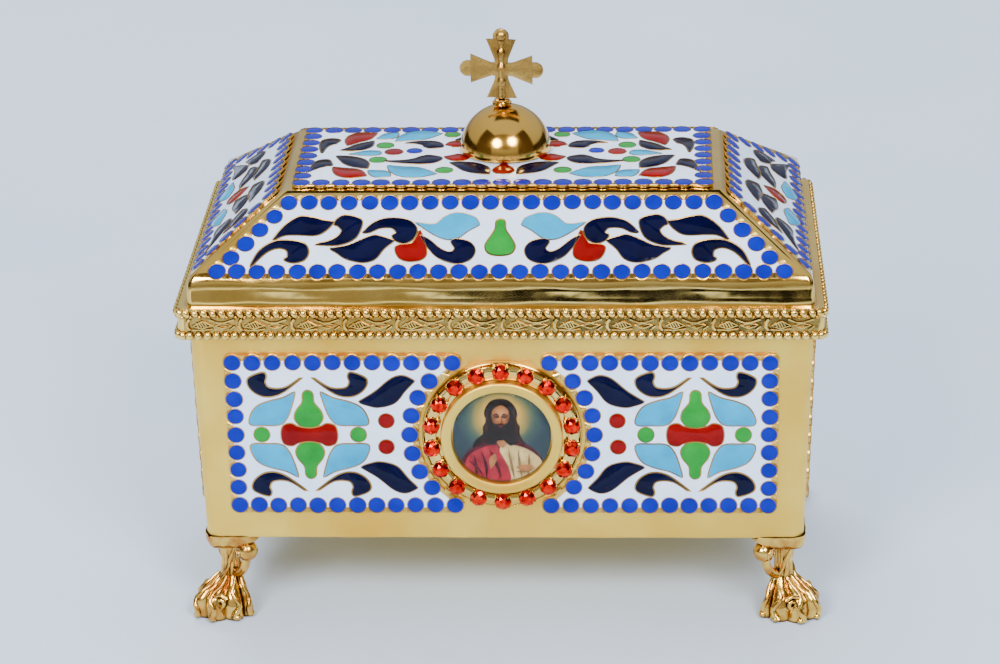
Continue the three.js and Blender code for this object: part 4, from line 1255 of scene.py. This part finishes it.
painted([(-3.1, 6.2), (-3.0, 8.8), (-1.9, 10.2), (-0.3, 10.6), (1.3, 10.2), (2.4, 8.8), (2.5, 6.2),
         (1.9, 7.8), (1.1, 8.9), (-0.1, 9.5), (-1.5, 8.9), (-2.5, 7.8)], HAIR)
EYE_V, NOSE_V = HEAD_V, HEAD_V - HEAD_H / 4
MOUTH_V = NOSE_V - HEAD_H / 12
for side in (-1, 1):
    painted(oval(HEAD_U + side * 1.15, EYE_V + 0.18, 1.0, 0.62, 16), DUSK, False)
    painted(oval(HEAD_U + side * 1.12, EYE_V - 0.02, 0.8, 0.27, 16), HAIR, False)
    painted(on_head((side * 0.3, EYE_V + 0.5), (side * 1.1, EYE_V + 1.12),
                    (side * 2.1, EYE_V + 0.5),
                    (side * 1.1, EYE_V + 0.6)), HAIR)
    painted(blade(*on_head((side * 2.3, EYE_V + 1.6), (side * 2.1, EYE_V - 0.6),
                           (side * 1.5, NOSE_V + 0.1)), 0.34), DUSK)
painted(on_head((0.14, EYE_V + 0.6), (0.5, EYE_V - 0.6), (0.8, NOSE_V + 0.2), (0, NOSE_V),
                (0.22, NOSE_V + 0.5)), DUSK)
painted(blade(*on_head((-0.55, NOSE_V + 0.02), (0, NOSE_V + 0.16), (0.7, NOSE_V + 0.02)), 0.14),
        SHADE)
painted(on_head((-0.6, MOUTH_V), (0, MOUTH_V + 0.1), (0.6, MOUTH_V), (0, MOUTH_V - 0.22)), ROSE)
for look, half, strokes in (
        (FOLD, 0.42, [((-8.0, -4.9), (-6.6, -9.0), (-7.4, -12.8)),
                      ((-5.9, -3.9), (-3.9, -8.2), (-4.4, -12.8)),
                      ((-3.6, -3.4), (-1.2, -7.6), (-0.4, -12.8)),
                      ((-9.4, -7.0), (-7.2, -8.4), (-5.2, -11.6))]),
        (TAN, 0.34, [((1.8, -3.4), (2.4, -8.0), (3.4, -12.8)),
                     ((4.4, -3.4), (4.6, -7.4), (5.4, -12.6)),
                     ((7.4, -4.8), (7.4, -8.4), (7.0, -12.0)),
                     ((3.4, -10.3), (6.2, -11.0), (9.2, -9.0))]),
        (FLESH, 0.95, [((-3.2, -9.6), (-2.6, -7.0), (-1.9, -4.9)),
                       ((3.6, -8.8), (6.0, -9.8), (8.6, -8.6))])):
    for stroke in strokes:
        painted(blade(*stroke, half), look)
make_piece("painted_picture", picture, paints, ["picture_disc"])
print(f"picture: {layers} painted areas")

# %% Clear cover
# Moulded clear acrylic: a low dome, seen through, with one soft reflection
clear = clouded("moulded acrylic, clear", {
    "IOR": 1.49, "Roughness": 0.03, "Transmission Weight": 1.0, "Alpha": 0.22},
    9, 2.0, [(0.3, "#FBFDFD"), (0.7, "#F1F6F7")])
cover_lift, COVER_T, _ = seat("picture_cover")
COVER_EDGE = 0.4
cover = Maker()
crown = [(PICTURE_R * cos(a), COVER_EDGE + (COVER_T - COVER_EDGE) * sin(a))
         for a in [radians(6 * s) for s in range(16)]]
spin(cover, medal.moved(0, 0, cover_lift),
     [(0, 0), (PICTURE_R, 0), (PICTURE_R, COVER_EDGE * 0.8)] + crown)
make_piece("clear_cover", cover, [clear], ["picture_cover"])

# %% [markdown]
# ## Dome, collar and cross
# The dome was spun over a former and burnished, so it mirrors the whole room. It is hollow, and
# its edge is turned in. The cross is a thin casting with a round bar up its middle. Its arms
# were filed by hand and its lobes end in small bumps, which a plain extruded shape would miss.


# %% Dome and collar
def standing(node):
    """An upright frame under the middle of a round solid, the solid's radius and its height."""
    low, high = node_box(node)
    origin = ((low.x + high.x) / 2, (low.y + high.y) / 2, low.z)
    spot = Frame(origin, face_top.right, face_top.up, face_top.out)
    return spot, (high.x - low.x) / 2, high.z - low.z


dome_spot, DOME_R, _ = standing("dome")
DOME_R += 0.05
DOME_T = 1.0
outer = [(DOME_R - 0.12, 0), (DOME_R, 0.25)]
outer += [(DOME_R * cos(a), DOME_R * sin(a)) for a in [radians(3 * s) for s in range(1, 31)]]
inner = [((DOME_R - DOME_T) * cos(a), (DOME_R - DOME_T) * sin(a))
         for a in [radians(90 - 6 * s) for s in range(16)]]
dome = Maker()
spin(dome, dome_spot, inner + outer, sides=96)
make_piece("burnished_dome", dome, [burnished], ["dome"], sharp=60)

collar_spot, COLLAR_R, COLLAR_H = standing("finial_collar")
collar = Maker()
spin(collar, collar_spot, [(COLLAR_R * share, COLLAR_H * rise) for share, rise in (
    (0, 0), (0.9, 0), (1, 0.2), (0.96, 0.4), (0.78, 0.5), (0.74, 0.62), (0.8, 0.8), (0.72, 0.95),
    (0.5, 1), (0, 1))], sides=40)
make_piece("stepped_collar", collar, [burnished], ["finial_collar"])

# %% Cross
ARM, FOOT_ARM, TIP, FLARE, WAIST, NECK = 8.7, 8.3, 11.8, 4.3, 1.9, 3.3
LOBE_R, CROSS_T, PIN_R = 2.3, 1.0, 1.3
EDGE_T = CROSS_T * 0.24           # half thickness at an arm's edge; in the middle it is CROSS_T / 2
CROSS_TURN = radians(6.5)
cross_low, _ = node_box("cross")


def cross_arm(length, lobed):
    """Outline of one arm, pointing up, as half-widths on its right side."""
    side = [(WAIST, 0), (WAIST, NECK * 0.8), (WAIST + 0.15, NECK), (FLARE - 0.25, length - 0.35),
            (FLARE, length)]
    if not lobed:
        return side + [(0, length)]
    lobe_v = TIP - LOBE_R
    start = -asin(min((lobe_v - length) / LOBE_R, 1))
    side.append((LOBE_R * cos(start) + 0.25, length - 0.1))
    for step in range(8):
        angle = start + (pi / 2 - start) * step / 8
        side.append((LOBE_R * cos(angle), lobe_v + LOBE_R * sin(angle)))
    return side + [(0, TIP)]


cross_mid = Vector((collar_spot.origin.x, dome_spot.origin.y, cross_low.z + FOOT_ARM))
cross_right = Vector((cos(CROSS_TURN), -sin(CROSS_TURN), 0))
cross = Maker()
for arm in range(4):
    angle, is_foot = arm * pi / 2, arm == 2
    right = cross_right * cos(angle) + UP * sin(angle)
    up = UP * cos(angle) - cross_right * sin(angle)
    arm_frame = Frame(cross_mid, right, up, right.cross(up))
    side = cross_arm(FOOT_ARM if is_foot else ARM, not is_foot)
    count = len(side)
    for sign in (-1, 1):
        # each face of an arm is a low roof: thick along the middle, thin at the edges
        points = [arm_frame.at(u, v, sign * EDGE_T) for u, v in side]
        points += [arm_frame.at(0, v, sign * CROSS_T * 0.5) for _, v in side]
        points += [arm_frame.at(-u, v, sign * EDGE_T) for u, v in side]
        faces = [[row + i, row + i + 1, row + count + i + 1, row + count + i]
                 for i in range(count - 1) for row in (0, count)]
        cross.add(points, [f[::-1] for f in faces] if sign < 0 else faces)
    outline = side + [(-u, v) for u, v in side[-2::-1]]
    strip = [arm_frame.at(u, v, sign * EDGE_T) for u, v in outline for sign in (-1, 1)]
    cross.add(strip, [[2 * i, 2 * i + 2, 2 * i + 3, 2 * i + 1] for i in range(len(outline) - 1)])


def pin_swell(t):
    """A rough cast bar with knots along it, the largest one low down."""
    knots = 0.16 * sin(t * 26) + 0.10 * sin(t * 47 + 1)
    low_knot = 0.38 * exp(-((t - 0.24) / 0.05)**2)
    return min(0.76 + knots + low_knot, 1.0)


pin = [cross_mid + UP * (-FOOT_ARM + (ARM + FOOT_ARM - 0.3) * step / 24) for step in range(25)]
tube(cross, pin, PIN_R, cross_right, sides=16, taper=pin_swell)
bead(cross, cross_mid + UP * (TIP - LOBE_R), cross_right, cross_right.cross(UP), (1.5, 1.0, 1.7),
     around=16, levels=9)
make_piece("cast_cross", cross, [dull_cast], ["cross"], sharp=30)

# %% [markdown]
# ## Cast feet
# Each foot is a small casting: a paw with deep flutes and a lip on the table, a slim ankle, and
# two strands that rise to scroll balls under a leaf-edged seat. It could be carved by hand in
# sculpt mode. A stack of sections with a rib formula gives the same fluted form and can be
# remade at any size, and small added leaves and spirals take away its regularity.

# %% Feet
ANKLE_IN_X, ANKLE_IN_Y, FOOT_TURN, FOOT_REACH = 5.4, 9.0, radians(30), 12.6
FLUTES, FLUTE_DEPTH = 9, 1.7
SCROLL_R, SCROLL_OUT, SCROLL_BACK, SCROLL_BITE = 3.0, 8.6, 1.6, 1.0
SEAT_W, SEAT_D, SEAT_T, SEAT_CORNER = 17.0, 20.0, 2.6, 5.0
SEAT_OUT_X, SEAT_OUT_Y = 1.1, 0.8
ANKLE = 0.465
foot_shape = [                    # height, reach outwards, inwards, sideways, flutes
    (0.000, 0.78, 0.42, 0.56, 0.8), (0.036, 0.86, 0.43, 0.60, 0.9), (0.080, 0.88, 0.39, 0.58, 1.0),
    (0.150, 0.90, 0.36, 0.58, 1.0), (0.225, 0.86, 0.33, 0.53, 1.0), (0.300, 0.72, 0.30, 0.45, 0.9),
    (0.385, 0.44, 0.26, 0.32, 0.6), (ANKLE, 0.25, 0.21, 0.22, 0.3), (0.640, 0.21, 0.18, 0.17, 0.2),
    (0.940, 0.34, 0.18, 0.26, 0.1)]
foot_low, foot_high = node_box("foot_front_left")
FOOT_H = foot_high.z - foot_low.z
SEAT_LOW = FOOT_H - SEAT_T


def eased(values, t):
    """A smooth value between the sections of the foot."""
    for before, after in zip(values, values[1:]):
        if t <= after[0]:
            share = (t - before[0]) / (after[0] - before[0])
            share = share * 0.5 + (3 * share**2 - 2 * share**3) * 0.5
            return [a + (b - a) * share for a, b in zip(before, after)]
    return list(values[-1])


def foot_piece(name, side_x, side_y, heading):
    maker = Maker()
    ankle = Vector((side_x * (UNDER_X - ANKLE_IN_X), side_y * (body_high.y - DRAW_IN - ANKLE_IN_Y),
                    0))
    ahead = Vector((cos(heading), sin(heading), 0))
    left = Vector((-ahead.y, ahead.x, 0))
    around, levels = 108, 46

    def skin_point(t, angle, more=0.0):
        """A point of the paw or ankle at height share t, seen at this angle from ahead."""
        _, out, inwards, side, fluted = eased(foot_shape, t)
        groove = FLUTE_DEPTH * fluted * (1 - abs(cos(FLUTES * angle / 2))) - more
        reach = (out if cos(angle) > 0 else inwards) * FOOT_REACH - groove
        across = side * FOOT_REACH - groove
        return ankle + ahead * reach * cos(angle) + left * across * sin(angle) + UP * t * FOOT_H

    maker.skin([[skin_point(level / levels * 0.94, 2 * pi * i / around) for i in range(around)]
                for level in range(levels + 1)])
    for k in range(-3, 4):        # toes: ribs that thicken towards the table
        angle = 2 * pi * k / FLUTES
        toe = [skin_point(0.44 - 0.40 * s / 10, angle + 0.10 * sin(s * 0.9 + k), 0.15)
               for s in range(11)]
        tube(maker, toe, 1.0, left, sides=10, taper=lambda s: 0.42 + 0.55 * s)
        bead(maker, skin_point(0.045, angle, 0.1), ahead, left, (1.05, 1.05, 1.0), around=10,
             levels=6)
    for turn in (-1, 1):          # a curled leaf on each side of the paw
        hub = skin_point(0.22, turn * 0.95, 0.3)
        outward = (hub - ankle - UP * hub.z).normalized()
        sideways = UP.cross(outward)
        curl = [hub + sideways * turn * radius * cos(angle) + UP * radius * sin(angle)
                for angle, radius in [(0.5 + s * 0.42, 2.5 - 0.1 * s) for s in range(20)]]
        tube(maker, curl, 0.62, outward, sides=8)
    for strand in range(3):       # strands that wind up the ankle
        wind = [skin_point(0.42 + 0.50 * s / 14, strand * 2.1 + 0.4 + s * 0.13, 0.1)
                for s in range(15)]
        tube(maker, wind, 0.62, ahead, sides=8)

    seat_mid = ankle + Vector((side_x * (ANKLE_IN_X + SEAT_OUT_X - SEAT_W / 2),
                               side_y * (ANKLE_IN_Y + SEAT_OUT_Y - SEAT_D / 2), 0))
    rings = []
    for draw, height, lip in (    # the seat; its outer edges have a low lip round the box's corner
            (5.6, SEAT_LOW - 1.2, 0), (4.0, SEAT_LOW - 0.7, 0), (2.4, SEAT_LOW + 0.1, 0),
            (1.4, SEAT_LOW + 0.9, 0),
            (0.8, SEAT_LOW + 1.6, 0), (0.7, FOOT_H - 0.35, 0.4), (0.85, FOOT_H, 0.7),
            (1.2, FOOT_H, 0.66),
            (2.0, FOOT_H, 0)):
        ring = rounded_ring(SEAT_W / 2 - draw, SEAT_D / 2 - draw, SEAT_CORNER - min(draw, 3.4), 0,
                            8, 12)
        lean = Vector((side_x, side_y, 0)) * draw * 0.55
        for k, p in enumerate(ring):
            scallop = 0.35 * abs(sin(k * pi / 6.5)) * 0.6
            p.x -= copysign(scallop, p.x)
            p.y -= copysign(scallop, p.y)
            outside = max(side_x * p.x - SEAT_W / 2, side_y * p.y - SEAT_D / 2) > -2.2
            p.z = height + (lip if outside else 0)
        rings.append([seat_mid + lean + p for p in ring])
    maker.skin(rings)

    fork = ankle + UP * FOOT_H * ANKLE
    for sign in (-1, 1):          # scroll balls on strands that fork from the ankle
        ball = (ankle - ahead * SCROLL_BACK + left * sign * SCROLL_OUT
                + UP * (SEAT_LOW + SCROLL_BITE - SCROLL_R))
        bead(maker, ball, ahead, left, (SCROLL_R, SCROLL_R, SCROLL_R), around=22, levels=14)
        elbow = fork - ahead * SCROLL_BACK + left * sign * SCROLL_OUT * 0.8
        path = [fork * (1 - t)**2 + elbow * 2 * t * (1 - t) + ball * t**2
                for t in [step / 12 for step in range(13)]]
        tube(maker, path, 1.35, ahead, sides=12, taper=lambda t: 1.1 - 0.25 * t)
        for strand in (-1, 1):
            tube(maker, [p + ahead * strand * 0.75 for p in path[:10]], 0.55, ahead, sides=8)
        spiral = []
        for step in range(22):
            angle, radius = sign * (0.6 + step * 0.34), 2.5 - 0.095 * step
            face_out = sqrt(max(SCROLL_R**2 - radius**2, 0)) + 0.05
            spiral.append(ball + ahead * face_out + left * radius * cos(angle)
                          + UP * radius * sin(angle))
        tube(maker, spiral, 0.26, ahead)
    make_piece(name.replace("foot", "cast_foot"), maker, [cast_gilt], [name],
               sharp=60)


for name, side_x, side_y, heading in (
        ("foot_front_left", -1, -1, pi + FOOT_TURN), ("foot_front_right", 1, -1, -FOOT_TURN),
        ("foot_back_right", 1, 1, FOOT_TURN), ("foot_back_left", -1, 1, pi - FOOT_TURN)):
    foot_piece(name, side_x, side_y, heading)
